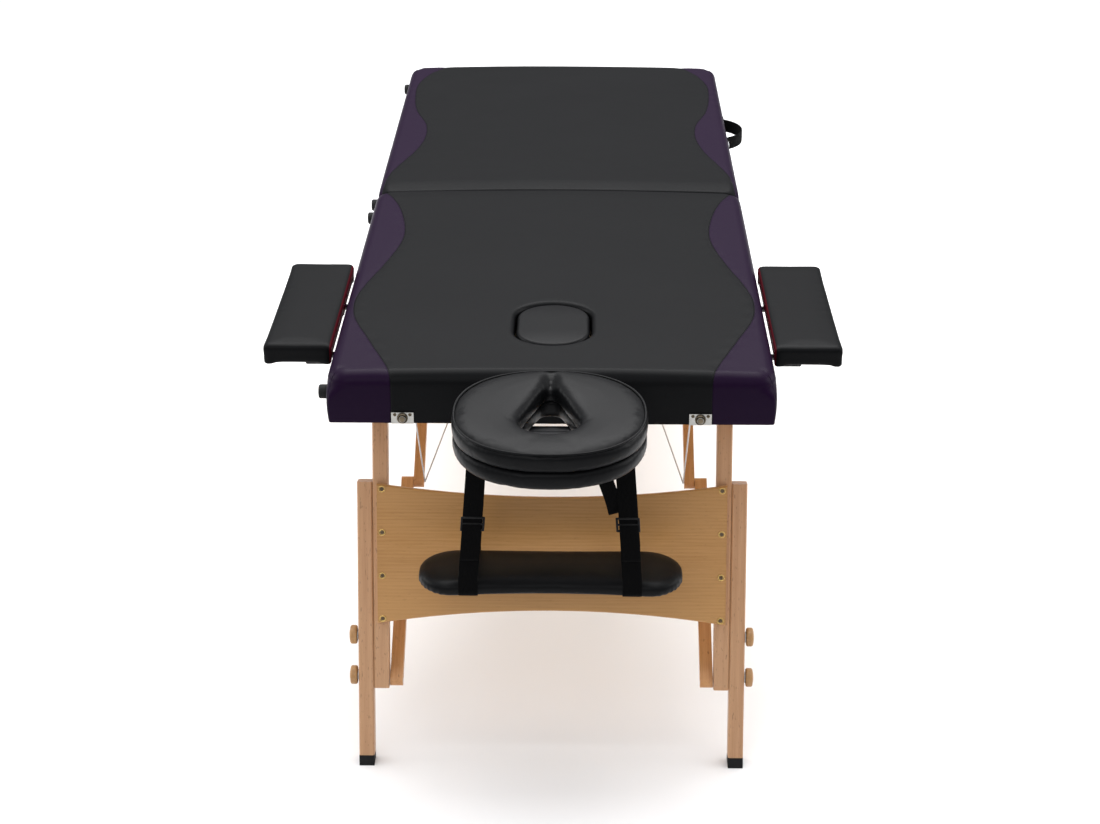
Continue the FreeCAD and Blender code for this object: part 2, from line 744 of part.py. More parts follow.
def make_headrest():
    """Peg frame, tilting platform and face cushion."""
    bar_y = "half_length + bar_reach"
    level = UNDERSIDE + " + peg_level"
    pieces = [rod("rest_bar", "bar_radius", "2 * bar_half", ("-bar_half", bar_y, level), ALONG_X)]
    for side, sign in SIDES["head"].items():
        pieces.append(rod(f"rest_{side}_peg", "peg_radius", "peg_length + bar_reach",
                          (f"{sign} * peg_place", "half_length - peg_length", level), ALONG_Y))
        edge = "bar_half - cap_thick" if sign > 0 else "-bar_half"
        pieces.append(
            rod(f"rest_{side}_cap", "bar_radius + cap_rise", "cap_thick", (edge, bar_y, level), ALONG_X)
        )
    keep("headrest_frame", fuse("headrest_frame_fuse", pieces), HEAD)

    pivot = Vector(0, S.half_length + S.bar_reach, underside + S.peg_level)
    tilt = HEAD.multiply(Placement(pivot, Rotation(Vector(1, 0, 0), -S.rest_tilt)))
    inner = S.rest_gap - S.bar_reach
    centre = inner + S.rest_length / 2
    across, along, roll = S.rest_width / 2, S.rest_length / 2, S.rest_roll

    def oval(grow):
        """Outline of the headrest, grown by an amount."""
        return quarters(centre, across + grow, along + grow)

    def opening(grow):
        """Outline of the face opening, grown by an amount."""
        begin = inner + S.face_inset - grow
        return teardrop(begin, S.face_length + 2 * grow, S.face_width + 2 * grow, S.face_tip + grow)

    shapes = {
        "platform": (0, S.platform_thick, PLATFORM, STRAIGHT_HOLE),
        "cushion": (S.platform_thick, S.rest_cushion, FACE_CUSHION, FLARED_HOLE),
    }
    for name, (level, thick, section, funnel) in shapes.items():
        pad = pad_form(f"headrest_{name}_form", oval, thick, section, roll)
        hole = pad_form(f"headrest_{name}_hole", opening, thick, funnel, roll)
        shaped = cut(f"headrest_{name}_cut", pad, [hole])
        shaped.Placement.Base.z = S.rest_rise + level
        keep(f"headrest_{name}", shaped, tilt)

    lugs = []
    for side, sign in SIDES["head"].items():
        edges = [
            line((-S.lug_radius, 0), (-S.lug_radius, S.rest_rise)),
            line((-S.lug_radius, S.rest_rise), (S.lug_radius, S.rest_rise)),
            line((S.lug_radius, S.rest_rise), (S.lug_radius, 0)),
            arc((S.lug_radius, 0), (0, -S.lug_radius), (-S.lug_radius, 0)),
            ring(0, 0, S.bar_radius + S.running),
        ]
        lug = plate(f"headrest_{side}_lug", "YZ_Plane", edges, "lug_thick")
        lug.Placement.Base.x = sign * S.lug_place - S.lug_thick / 2
        lugs.append(lug)
    keep("headrest_lugs", group("headrest_lug_pair", lugs), tilt)


def make_shelf():
    """Padded arm shelf hung on two webbing loops from the headrest's bar."""
    bar_y = S.half_length + S.bar_reach
    depth = S.shelf_depth

    def shelf_outline(grow):
        """Outline of the shelf: round ends, a straight back and a hollow front, grown by an amount."""
        reach = S.shelf_width / 2 + grow
        turn = S.shelf_width / 2 - S.shelf_end
        back, front = bar_y - depth / 2 - grow, bar_y + depth / 2 + grow
        return [
            line((-turn, back), (turn, back)),
            arc((turn, back), (reach, bar_y), (turn, front)),
            arc((turn, front), (0, front - S.shelf_hollow), (-turn, front)),
            arc((-turn, front), (-reach, bar_y), (-turn, back)),
        ]

    shelf = pad_form("arm_shelf_form", shelf_outline, S.shelf_thick, SHELF, S.shelf_roll)
    shelf.Placement.Base.z = S.shelf_level
    keep("arm_shelf", shelf, HEAD)

    level = underside + S.peg_level
    loops = []
    for side, sign in SIDES["head"].items():
        skins = []
        for grow in (S.strap_play + S.strap_thick, S.strap_play):
            top = S.bar_radius + grow
            wide = depth / 2 + grow
            low, high = S.shelf_level - grow, S.shelf_level + S.shelf_thick
            drop = level - high
            lean = math.atan2(wide, drop) - math.asin(top / math.hypot(wide, drop))
            touch = (top * math.cos(lean), top * math.sin(lean))
            right = (bar_y + touch[0], level + touch[1])
            left = (bar_y - touch[0], level + touch[1])
            skins += [
                arc(right, (bar_y, level + top), left),
                line(left, (bar_y - wide, high)),
                line((bar_y - wide, high), (bar_y - wide, low)),
                line((bar_y - wide, low), (bar_y + wide, low)),
                line((bar_y + wide, low), (bar_y + wide, high)),
                line((bar_y + wide, high), right),
            ]
        loop = plate(f"{side}_strap_body", "YZ_Plane", skins, "strap_width")
        loop.Placement.Base.x = sign * S.strap_place - S.strap_width / 2
        loops.append(loop)
    keep("shelf_straps", group("shelf_strap_pair", loops), HEAD)


def make_armrests():
    """Padded boards on two blocks each, whose dowels plug into the head half's side rails."""
    near = S.table_width / 2 + S.arm_gap
    start = S.half_length - S.arm_inset - S.arm_length

    def arm_outline(grow):
        """Outline of an armrest, its sides drawn in between the corners, grown by an amount."""
        wide, long, draw = S.arm_width / 2 + grow, S.arm_length / 2 + grow, S.arm_draw
        return [
            arc((-wide, -long), (0, -long + draw), (wide, -long)),
            arc((wide, -long), (wide - draw, 0), (wide, long)),
            arc((wide, long), (0, long - draw), (-wide, long)),
            arc((-wide, long), (-wide + draw, 0), (-wide, -long)),
        ]

    for side, sign in SIDES["head"].items():
        pad = pad_form(f"{side}_armrest_form", arm_outline, S.arm_thick, ARMREST, S.arm_roll)
        middle = sign * (near + S.arm_width / 2)
        pad.Placement.Base = Vector(middle, start + S.arm_length / 2, underside + S.arm_level)
        pieces = [pad]
        for number, step in enumerate((-1, 1), start=1):
            reach = "rail_thick + skirt + arm_gap + dowel_reach - dowel_play"
            begin = "table_width / 2 - rail_thick - skirt + dowel_play"
            begin = begin if sign > 0 else f"-({begin}) - ({reach})"
            where = (begin, f"half_length - arm_inset - arm_length / 2 + {step} * dowel_spacing / 2",
                     UNDERSIDE + " + dowel_level")
            pieces.append(rod(f"{side}_armrest_dowel_{number}", "dowel_radius", reach, where, ALONG_X))
            bore = rod(f"{side}_armrest_bore_{number}", "dowel_radius", reach, where, ALONG_X)
            height = "arm_level - dowel_level + arm_block_width / 2"
            size = ("arm_block_length", "arm_block_width", height)
            begin = "table_width / 2 + arm_gap + arm_block_inset"
            begin = begin if sign > 0 else f"-({begin}) - arm_block_length"
            corner = (begin, where[1] + " - arm_block_width / 2", where[2] + " - arm_block_width / 2")
            block = box(f"{side}_armrest_block_{number}", size, corner)
            pieces.append(cut(f"{side}_armrest_drilled_{number}", block, [bore]))
        keep(f"{side}_armrest", group(f"{side}_armrest_group", pieces), HEAD)


def make_handle():
    """Webbing carry handle on the right side of the foot half, screwed down at both ends."""
    half_l, rise, thick = S.handle_length / 2, S.handle_rise, S.handle_thick
    tab = S.handle_tab
    wall = S.table_width / 2
    outer = arc((wall + thick, half_l - tab), (wall + rise, 0), (wall + thick, -half_l + tab))
    inner = arc((wall, -half_l + tab), (wall + rise - thick, 0), (wall, half_l - tab))
    edges = [
        line((wall, half_l - tab), (wall, half_l)),
        line((wall, half_l), (wall + thick, half_l)),
        line((wall + thick, half_l), (wall + thick, half_l - tab)),
        outer,
        line((wall + thick, -half_l + tab), (wall + thick, -half_l)),
        line((wall + thick, -half_l), (wall, -half_l)),
        line((wall, -half_l), (wall, -half_l + tab)),
        inner,
    ]
    handle = plate("carry_handle_body", "XY_Plane", edges, "handle_width")
    handle.Placement.Base = Vector(0, S.handle_place, underside + S.handle_level)
    keep("carry_handle", handle)


def make_socket_blocks():
    """Hardwood blocks behind the head end rail that carry the headrest's pegs."""
    blocks = []
    for side, sign in SIDES["head"].items():
        block = box(f"{side}_socket_block", ("socket_block", "socket_block", "rail_depth"),
                    (f"{sign} * peg_place - socket_block / 2",
                     "half_length - skirt - rail_thick - socket_block", UNDERSIDE))
        bore = rod(f"{side}_socket_bore", "peg_radius + running", "socket_block + 2 * over",
                   (f"{sign} * peg_place", "half_length - skirt - rail_thick - socket_block - over",
                    UNDERSIDE + " + peg_level"), ALONG_Y)
        blocks.append(cut(f"{side}_socket", block, [bore]))
    keep("headrest_sockets", group("headrest_socket_pair", blocks), HEAD)


for half_name, half_place in HALVES.items():
    make_top(half_name, half_place)
    make_leg_frame(half_name, half_place)
    make_extensions(half_name, half_place)
    make_knobs(half_name, half_place)
    make_braces(half_name, half_place)
    make_cables(half_name, half_place)
    make_trim(half_name, half_place)
make_fold_hinges()
make_plug()
make_socket_blocks()
make_headrest()
make_shelf()
make_armrests()
make_handle()
doc.recompute()

faults = [item.Name for item in doc.Objects if {"Invalid", "Error"} & set(item.State)]
faults += [item.Label for item in nodes if item.Shape.isNull() or not item.Shape.isValid()]
if faults:
    raise RuntimeError("failed objects: " + ", ".join(faults))
os.makedirs("parts", exist_ok=True)
for item in nodes:
    item.Shape.exportStep(f"parts/{item.Label}.step")
print(len(nodes), "nodes; braces", round(lower_brace, 2), round(upper_brace, 2))
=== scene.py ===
"""Looks of a folding massage table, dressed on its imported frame.

Lengths are in metres. +Z is up, the floor is Z = 0, the head half lies towards -Y and the fold is at Y = 0.
"""

import logging
import math
from dataclasses import dataclass
from enum import Enum

import bmesh
import bpy
import numpy as np
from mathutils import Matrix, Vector


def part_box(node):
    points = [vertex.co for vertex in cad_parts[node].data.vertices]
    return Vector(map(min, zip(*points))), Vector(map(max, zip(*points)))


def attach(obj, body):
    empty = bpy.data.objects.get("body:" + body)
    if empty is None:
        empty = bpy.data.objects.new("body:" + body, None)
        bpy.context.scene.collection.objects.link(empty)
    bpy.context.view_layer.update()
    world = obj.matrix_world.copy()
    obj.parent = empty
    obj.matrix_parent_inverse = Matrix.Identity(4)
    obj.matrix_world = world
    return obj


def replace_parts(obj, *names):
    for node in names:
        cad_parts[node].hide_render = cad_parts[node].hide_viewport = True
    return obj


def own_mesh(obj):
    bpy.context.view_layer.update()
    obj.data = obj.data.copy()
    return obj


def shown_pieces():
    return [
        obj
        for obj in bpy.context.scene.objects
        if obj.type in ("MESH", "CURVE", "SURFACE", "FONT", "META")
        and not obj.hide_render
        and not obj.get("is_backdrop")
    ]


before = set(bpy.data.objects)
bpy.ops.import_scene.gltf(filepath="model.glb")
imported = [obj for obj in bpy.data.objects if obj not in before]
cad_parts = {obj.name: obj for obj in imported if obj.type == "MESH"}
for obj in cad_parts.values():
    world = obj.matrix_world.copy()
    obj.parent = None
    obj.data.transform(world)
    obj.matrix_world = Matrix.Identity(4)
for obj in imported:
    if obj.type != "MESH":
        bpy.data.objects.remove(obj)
LOG = logging.getLogger("massage_table")
Array = np.ndarray
Triple = tuple[float, float, float]
Colour = Triple
Piece = bpy.types.Object
Socket = bpy.types.NodeSocket
Material = bpy.types.Material
FULL_TURN = 2 * math.pi
MM = 0.001


class Half(Enum):
    """A half of the table; the value is the sign of its Y side."""

    HEAD = -1
    FOOT = 1

    @property
    def tag(self) -> str:
        """Returns: the prefix of the half's nodes."""
        return self.name.lower()


class Side(Enum):
    """A side of the table; the value is the sign of X."""

    LEFT = -1
    RIGHT = 1

    @property
    def tag(self) -> str:
        """Returns: the word for the side in node names."""
        return self.name.lower()


# Curves and surfaces


def ease(share: Array) -> Array:
    """Smooth step from 0 to 1.

    Args:
        share: Values, held between 0 and 1.
    Returns: 3t² - 2t³ of each value.
    """
    held = np.clip(share, 0, 1)
    return held * held * (3 - 2 * held)


def bell(offset: Array, width: float) -> Array:
    """Bell curve of height 1.

    Args:
        offset: Distances from the middle.
        width: Distance at which it has fallen to 1/e.
    Returns: exp(-(offset / width)²).
    """
    return np.exp(-((offset / width) ** 2))


def hermite(at: Array, knots: Array, values: Array) -> Array:
    """Smooth curve through points, cubic between neighbours with slopes from central differences.

    Args:
        at: Places to evaluate.
        knots: Rising places of the points.
        values: Heights of the points.
    Returns: The curve's heights.
    """
    slopes = np.gradient(values, knots)
    held = np.clip(at, knots[0], knots[-1])
    left = np.clip(np.searchsorted(knots, held, side="right") - 1, 0, len(knots) - 2)
    gap = knots[left + 1] - knots[left]
    t = (held - knots[left]) / gap
    rise = t * t * (3 - 2 * t)
    return (
        values[left] * (1 - rise) + values[left + 1] * rise
        + gap * slopes[left] * t * (1 - t) ** 2 - gap * slopes[left + 1] * t * t * (1 - t)
    )


def rounded_box(half_x: float, half_y: float, radius: float, step: float, corner_points: int = 10) -> Array:
    """Outline of a rectangle with round corners: quarter arcs joined by evenly divided straight sides.

    Args:
        half_x: Half width.
        half_y: Half length.
        radius: Corner radius.
        step: Spacing on the straight sides, rounded to whole counts of each full side.
        corner_points: Points in each corner arc.
    Returns: (N, 2) points, counter-clockwise.
    """
    across = max(2, round(2 * half_x / step))
    along = max(2, round(2 * half_y / step))
    return rounded_box_counts(half_x, half_y, radius, across, along, corner_points)


def rounded_box_counts(half_x: float, half_y: float, radius: float, across: int, along: int,
                       corner_points: int) -> Array:
    """The same outline with given numbers of points on its sides.

    Args:
        half_x: Half width.
        half_y: Half length.
        radius: Corner radius.
        across: Points on each side that runs along X.
        along: Points on each side that runs along Y.
        corner_points: Points in each corner arc.
    Returns: (N, 2) points, counter-clockwise.
    """
    pieces = []
    corners = [(1, 1), (-1, 1), (-1, -1), (1, -1)]
    for turn, (sx, sy) in enumerate(corners):
        middle = np.array([sx * (half_x - radius), sy * (half_y - radius)])
        angles = np.linspace(turn * math.pi / 2, (turn + 1) * math.pi / 2, corner_points)
        pieces.append(middle + radius * np.stack([np.cos(angles), np.sin(angles)], 1))
        tx, ty = corners[(turn + 1) % 4]
        start = pieces[-1][-1]
        end = np.array([tx * (half_x - radius), ty * (half_y - radius)])
        end = end + radius * np.array([math.cos(angles[-1]), math.sin(angles[-1])])
        count = across if turn % 2 == 0 else along
        share = np.linspace(0, 1, count + 2)[1:-1, None]
        pieces.append(start + (end - start) * share)
    return np.concatenate(pieces)


def powered(values: Array, power: float | Array) -> Array:
    """Returns: The values' sizes to a power, with their signs; a smaller power squares a circle off."""
    return np.sign(values) * np.abs(values) ** power


def towards(outer: Array, core: Array, share: float | Array) -> Array:
    """Returns: Points that lie a share of the way from an outline to its core."""
    return outer + (core - outer) * share


def facing(axis: int, sign: float) -> Array:
    """Returns: The unit vector along axis 0, 1 or 2 with the given sign."""
    out = np.zeros(3)
    out[axis] = sign
    return out


def polar_outline(outline: Array, angles: Array) -> Array:
    """Points of a star-shaped outline at given angles, by interpolating its radius.

    Args:
        outline: (N, 2) points round the origin.
        angles: Angles to take.
    Returns: (len(angles), 2) points.
    """
    at = np.arctan2(outline[:, 1], outline[:, 0])
    order = np.argsort(at)
    radius = np.interp(angles, at[order], np.hypot(*outline.T)[order], period=FULL_TURN)
    return radius[:, None] * np.stack([np.cos(angles), np.sin(angles)], 1)


def ring3(points: Array, height: Array | float) -> Array:
    """Lift an outline to a height.

    Args:
        points: (N, 2) outline.
        height: One height, or one for each point.
    Returns: (N, 3) points.
    """
    return np.column_stack([points, np.broadcast_to(height, len(points))])


class Soup:
    """Grids gathered into one mesh."""

    def __init__(self) -> None:
        """Start empty."""
        self.points: list[Array] = []
        self.faces: list[Array] = []
        self.corners: list[Array] = []
        self.count = 0

    def add(self, grid: Array, wrap_rows: bool = False, wrap_cols: bool = True,
            uv: Array | None = None) -> "Soup":
        """Add a grid of points as quads.

        Args:
            grid: (rows, cols, 3) points.
            wrap_rows: The last row meets the first.
            wrap_cols: The last column meets the first.
            uv: (rows + wrap, cols + wrap, 2) texture places.
        Returns: The soup itself.
        """
        rows, cols = grid.shape[:2]
        down, over = np.arange(rows - (not wrap_rows)), np.arange(cols - (not wrap_cols))
        r, c = np.meshgrid(down, over, indexing="ij")
        steps = [(0, 0), (0, 1), (1, 1), (1, 0)]
        quads = np.stack([((r + i) % rows) * cols + (c + j) % cols for i, j in steps], -1).reshape(-1, 4)
        places = np.zeros((len(quads), 4, 2))
        if uv is not None:
            places = np.stack([uv[r + i, c + j] for i, j in steps], -2).reshape(-1, 4, 2)
        self.points.append(grid.reshape(-1, 3))
        self.faces.append(quads + self.count)
        self.corners.append(places)
        self.count += rows * cols
        return self

    def build(self, name: str, marks: dict[str, Array] | None = None,
              crease: float | None = None) -> Piece:
        """Make the object, its coincident points welded and its faces turned outwards.

        Args:
            name: Object name.
            marks: Values for each point, by attribute name.
            crease: Angle above which edges stay sharp.
        Returns: The new object.
        """
        mesh = bpy.data.meshes.new(name)
        mesh.from_pydata(np.concatenate(self.points).tolist(), [], np.concatenate(self.faces).tolist())
        layer = mesh.uv_layers.new(name="UVMap")
        layer.data.foreach_set("uv", np.concatenate(self.corners).reshape(-1).astype(np.float32))
        for key, values in (marks or {}).items():
            spot = mesh.attributes.new(key, "FLOAT", "POINT")
            spot.data.foreach_set("value", values.reshape(-1).astype(np.float32))
        work = bmesh.new()
        work.from_mesh(mesh)
        bmesh.ops.remove_doubles(work, verts=work.verts, dist=2e-6)
        bmesh.ops.recalc_face_normals(work, faces=work.faces)
        work.to_mesh(mesh)
        work.free()
        mesh.shade_smooth()
        if crease is not None:
            mesh.set_sharp_from_angle(angle=crease)
        piece = bpy.data.objects.new(name, mesh)
        bpy.context.scene.collection.objects.link(piece)
        return piece


def lathe(profile: Array, origin: Array, axis: Array, segments: int = 40) -> Array:
    """Surface of revolution: each profile point (radius, height) goes round the axis.

    Args:
        profile: (N, 2) radii and heights.
        origin: Point of the axis at height 0.
        axis: Direction of the axis.
        segments: Points round.
    Returns: (N, segments, 3) points.
    """
    along = np.asarray(axis, float) / np.linalg.norm(axis)
    helper = np.array([0.0, 0.0, 1.0]) if abs(along[2]) < 0.9 else np.array([1.0, 0.0, 0.0])
    side = np.cross(helper, along)
    side /= np.linalg.norm(side)
    other = np.cross(along, side)
    turn = np.linspace(0, FULL_TURN, segments, endpoint=False)
    spokes = np.cos(turn)[:, None] * side + np.sin(turn)[:, None] * other
    return np.asarray(origin) + profile[:, 0, None, None] * spokes + profile[:, 1, None, None] * along


def band(path: Array, across: Array, width: float, thick: float, closed: bool) -> tuple[Array, Array]:
    """Webbing: a flat section with round edges carried along a path.

    Args:
        path: (N, 3) middle line.
        across: Direction of the width.
        width: Band width.
        thick: Band thickness.
        closed: The path is a loop.
    Returns: Grid of points and its texture places in metres along and across.
    """
    if closed:
        tangent = np.roll(path, -1, 0) - np.roll(path, 1, 0)
    else:
        tangent = np.gradient(path, axis=0)
    tangent /= np.linalg.norm(tangent, axis=1)[:, None]
    flat = np.asarray(across, float)
    normal = np.cross(tangent, flat)
    normal /= np.linalg.norm(normal, axis=1)[:, None]
    turn = np.linspace(0, FULL_TURN, 28, endpoint=False)
    side = powered(np.cos(turn), 0.35) * width / 2
    out = powered(np.sin(turn), 0.5) * thick / 2
    grid = path[:, None] + side[:, None] * flat + out[:, None] * normal[:, None]
    if not closed:
        grid[0] = path[0] + side[:, None] * flat * 0.98
        grid[-1] = path[-1] + side[:, None] * flat * 0.98
    steps = np.linalg.norm(np.diff(path, axis=0, append=path[:1] if closed else path[-1:]), axis=1)
    length = np.concatenate([[0], np.cumsum(steps)])[: len(path) + closed]
    side = np.append(side, side[:1])
    uv = np.stack(np.broadcast_arrays(length[:, None], side[None, :]), -1)
    return grid, uv


def even_path(points: Array, step: float, closed: bool, passes: int = 0) -> Array:
    """Divide a polyline evenly, then soften it by averaging neighbours.

    Args:
        points: (N, 3) corners.
        step: Spacing.
        closed: The path is a loop.
        passes: Rounds of softening.
    Returns: (M, 3) points.
    """
    line = np.vstack([points, points[:1]]) if closed else points
    length = np.concatenate([[0], np.cumsum(np.linalg.norm(np.diff(line, axis=0), axis=1))])
    at = np.linspace(0, length[-1], max(4, round(length[-1] / step)), endpoint=not closed)
    path = np.stack([np.interp(at, length, line[:, k]) for k in range(3)], 1)
    for _ in range(passes):
        mean = (np.roll(path, 1, 0) + 2 * path + np.roll(path, -1, 0)) / 4
        if not closed:
            mean[0], mean[-1] = path[0], path[-1]
        path = mean
    return path


def puff(piece: Piece, voxel: float, cap: float) -> None:
    """Blow a stuffed piece up as cloth under pressure, with no point moved further than the cap.

    Args:
        piece: The closed piece; its mesh is remade in even cells.
        voxel: Cell size of the remake.
        cap: Longest move of a point.
    """
    scene = bpy.context.scene
    bpy.context.view_layer.objects.active = piece
    remake = piece.modifiers.new("Cells", "REMESH")
    remake.mode = "VOXEL"
    remake.voxel_size = voxel
    remake.use_smooth_shade = True
    bpy.ops.object.modifier_apply(modifier=remake.name)
    count = len(piece.data.vertices)
    start = np.empty(count * 3, np.float32)
    piece.data.vertices.foreach_get("co", start)
    cloth = piece.modifiers.new("Cloth", "CLOTH")
    cloth.settings.use_pressure = True
    cloth.settings.uniform_pressure_force = 4
    cloth.settings.effector_weights.gravity = 0
    cloth.settings.tension_stiffness = 40
    cloth.settings.compression_stiffness = 40
    cloth.settings.bending_stiffness = 2
    cloth.point_cache.frame_end = 20
    for step in range(1, 21):
        scene.frame_set(step)
    moved = np.empty(count * 3, np.float32)
    shown = piece.evaluated_get(bpy.context.evaluated_depsgraph_get())
    shown.data.vertices.foreach_get("co", moved)
    piece.modifiers.remove(cloth)
    move = (moved - start).reshape(-1, 3)
    length = np.linalg.norm(move, axis=1, keepdims=True)
    move *= cap * np.tanh(length / cap) / np.maximum(length, 1e-9)
    piece.data.vertices.foreach_set("co", (start.reshape(-1, 3) + move).reshape(-1))
    piece.data.update()
    scene.frame_set(1)
    soften(piece)


def soften(piece: Piece) -> None:
    """Add one level of subdivision.

    Args:
        piece: The piece to smooth.
    """
    smooth = piece.modifiers.new("Smooth", "SUBSURF")
    smooth.levels = 1
    smooth.render_levels = 1


# Finishes


class Nodes:
    """Builds one material's node tree."""

    def __init__(self, name: str) -> None:
        """Start a material.

        Args:
            name: Material name.
        """
        self.material = bpy.data.materials.new(name)
        self.material.use_nodes = True
        self.tree = self.material.node_tree
        self.shader = self.tree.nodes["Principled BSDF"]

    def add(self, kind: str, inputs: dict | None = None, **settings) -> bpy.types.Node:
        """Add a node.

        Args:
            kind: Node type without its common prefix.
            inputs: Values or sockets by input name or number.
            settings: Properties of the node.
        Returns: The node.
        """
        node = self.tree.nodes.new("ShaderNode" + kind)
        for key, value in settings.items():
            setattr(node, key, value)
        self.feed(node, inputs or {})
        return node

    def feed(self, node: bpy.types.Node, inputs: dict) -> None:
        """Set or link a node's inputs.

        Args:
            node: The node.
            inputs: Values or sockets by input name or number.
        """
        for key, value in inputs.items():
            if isinstance(value, Socket):
                self.tree.links.new(value, node.inputs[key])
            else:
                node.inputs[key].default_value = value

    def places(self, turn: Triple = (0, 0, 0), scale: Triple = (1, 1, 1)) -> Socket:
        """Object coordinates, turned and then scaled.

        Args:
            turn: Angles about X, Y and Z.
            scale: Scale along the turned axes.
        Returns: The vector socket.
        """
        at = self.add("TexCoord").outputs["Object"]
        turned = self.add("Mapping", {"Vector": at, "Rotation": turn}).outputs[0]
        return self.add("Mapping", {"Vector": turned, "Scale": scale}).outputs[0]

    def noise(self, at: Socket, scale: float, detail: float = 4, rough: float = 0.55,
              twist: float = 0) -> Socket:
        """Noise texture.

        Args:
            at: Vector socket.
            scale: Cells a metre.
            detail: Octaves.
            rough: Weight of the finer octaves.
            twist: Distortion.
        Returns: The value socket.
        """
        return self.add("TexNoise", {
            "Vector": at, "Scale": scale, "Detail": detail, "Roughness": rough, "Distortion": twist,
        }).outputs[0]

    def math(self, operation: str, *values: Socket | float) -> Socket:
        """Arithmetic on sockets or numbers.

        Args:
            operation: Name of the operation.
            values: Sockets or numbers.
        Returns: The value socket.
        """
        node = self.add("Math", dict(enumerate(values)), operation=operation)
        return node.outputs[0]

    def span(self, value: Socket, low: float, high: float, to_low: float = 0,
             to_high: float = 1) -> Socket:
        """Map a value smoothly from one range to another, held at its ends.

        Args:
            value: Socket.
            low: Start of the range.
            high: End of the range.
            to_low: Result at the start.
            to_high: Result at the end.
        Returns: The value socket.
        """
        return self.add("MapRange", {
            0: value, 1: low, 2: high, 3: to_low, 4: to_high,
        }, interpolation_type="SMOOTHSTEP").outputs[0]

    def mix(self, share: Socket | float, first: Socket | Colour,
            second: Socket | Colour) -> Socket:
        """Mix two colours.

        Args:
            share: Socket or number.
            first: Colour or socket at 0.
            second: Colour or socket at 1.
        Returns: The colour socket.
        """
        node = self.add("Mix", data_type="RGBA")
        wide = [c if isinstance(c, Socket) else (*c, 1) for c in (first, second)]
        self.feed(node, {0: share, 6: wide[0], 7: wide[1]})
        return node.outputs[2]

    def bump(self, height: Socket, distance: float,
             under: Socket | None = None) -> Socket:
        """Bump from a height.

        Args:
            height: Socket.
            distance: Depth in metres.
            under: Normal socket of a coarser bump.
        Returns: The normal socket.
        """
        inputs = {"Height": height, "Distance": distance, "Strength": 1.0}
        if under is not None:
            inputs["Normal"] = under
        return self.add("Bump", inputs).outputs[0]

    def finish(self, **inputs) -> Material:
        """Feed the shader.

        Args:
            inputs: Shader inputs, their names with _ for spaces.
        Returns: The material.
        """
        self.feed(self.shader, {key.replace("_", " "): value for key, value in inputs.items()})
        return self.material


@dataclass(frozen=True)
class Vinyl:
    """Grained vinyl; with a panel colour it changes at the seam attribute of a cushion."""

    name: str
    colour: Colour
    panel: Colour | None = None
    lining: Colour | None = None
    lining_edge: float = 0.3475
    rough: float = 0.4
    gloss: float = 0.055
    cell: float = 0.0011

    def material(self) -> Material:
        """Returns: The material: leather cells, clouding and scuffs; where marked, the seam and pleats, their
        valleys darkened as painted shade.
        """
        n = Nodes(self.name)
        at = n.places()
        cells = n.add("TexVoronoi", {
            "Vector": at, "Scale": 1 / self.cell, "Randomness": 0.9,
        }, feature="F1").outputs[0]
        cloud = n.noise(at, 6, 4)
        scuff = n.noise(at, 3.5, 3, 0.5)
        base = n.mix(n.math("MULTIPLY", cloud, 0.25), self.colour, [c * 1.5 + 0.001 for c in self.colour])
        grain = n.math("ADD", n.math("MULTIPLY", cells, 0.6), n.math("MULTIPLY", n.noise(at, 1400, 2), 0.5))
        normal = n.bump(grain, 0.00003)
        if self.panel is not None:
            seam = n.add("Attribute", attribute_name="seam").outputs["Fac"]
            pleat = n.add("Attribute", attribute_name="pleat").outputs["Fac"]
            side = n.mix(n.math("MULTIPLY", cloud, 0.25), self.panel, [c * 1.4 + 0.001 for c in self.panel])
            base = n.mix(n.span(seam, -0.0004, 0.0004), base, side)
            off = n.math("ABSOLUTE", seam)
            fold = n.math("MINIMUM", n.span(off, 0.0002, 0.0018), n.span(pleat, 0.0002, 0.0018))
            # Painted shade: the colour darkens towards near black in the seam valley and the pleat creases.
            base = n.mix(n.span(fold, 0.0, 0.5, 0.4, 0), base, (0.001, 0.001, 0.002))
            normal = n.bump(fold, 0.0008, normal)
        if self.lining is not None:
            parts = n.add("SeparateXYZ", {0: at})
            across = n.math("ABSOLUTE", parts.outputs[0])
            inner = n.span(across, self.lining_edge - 0.0006, self.lining_edge, 1, 0)
            base = n.mix(inner, base, self.lining)
        shine = n.span(scuff, 0.3, 0.75, self.rough - 0.02, self.rough + 0.04)
        return n.finish(Base_Color=base, Roughness=shine, Normal=normal, Specular_IOR_Level=self.gloss)


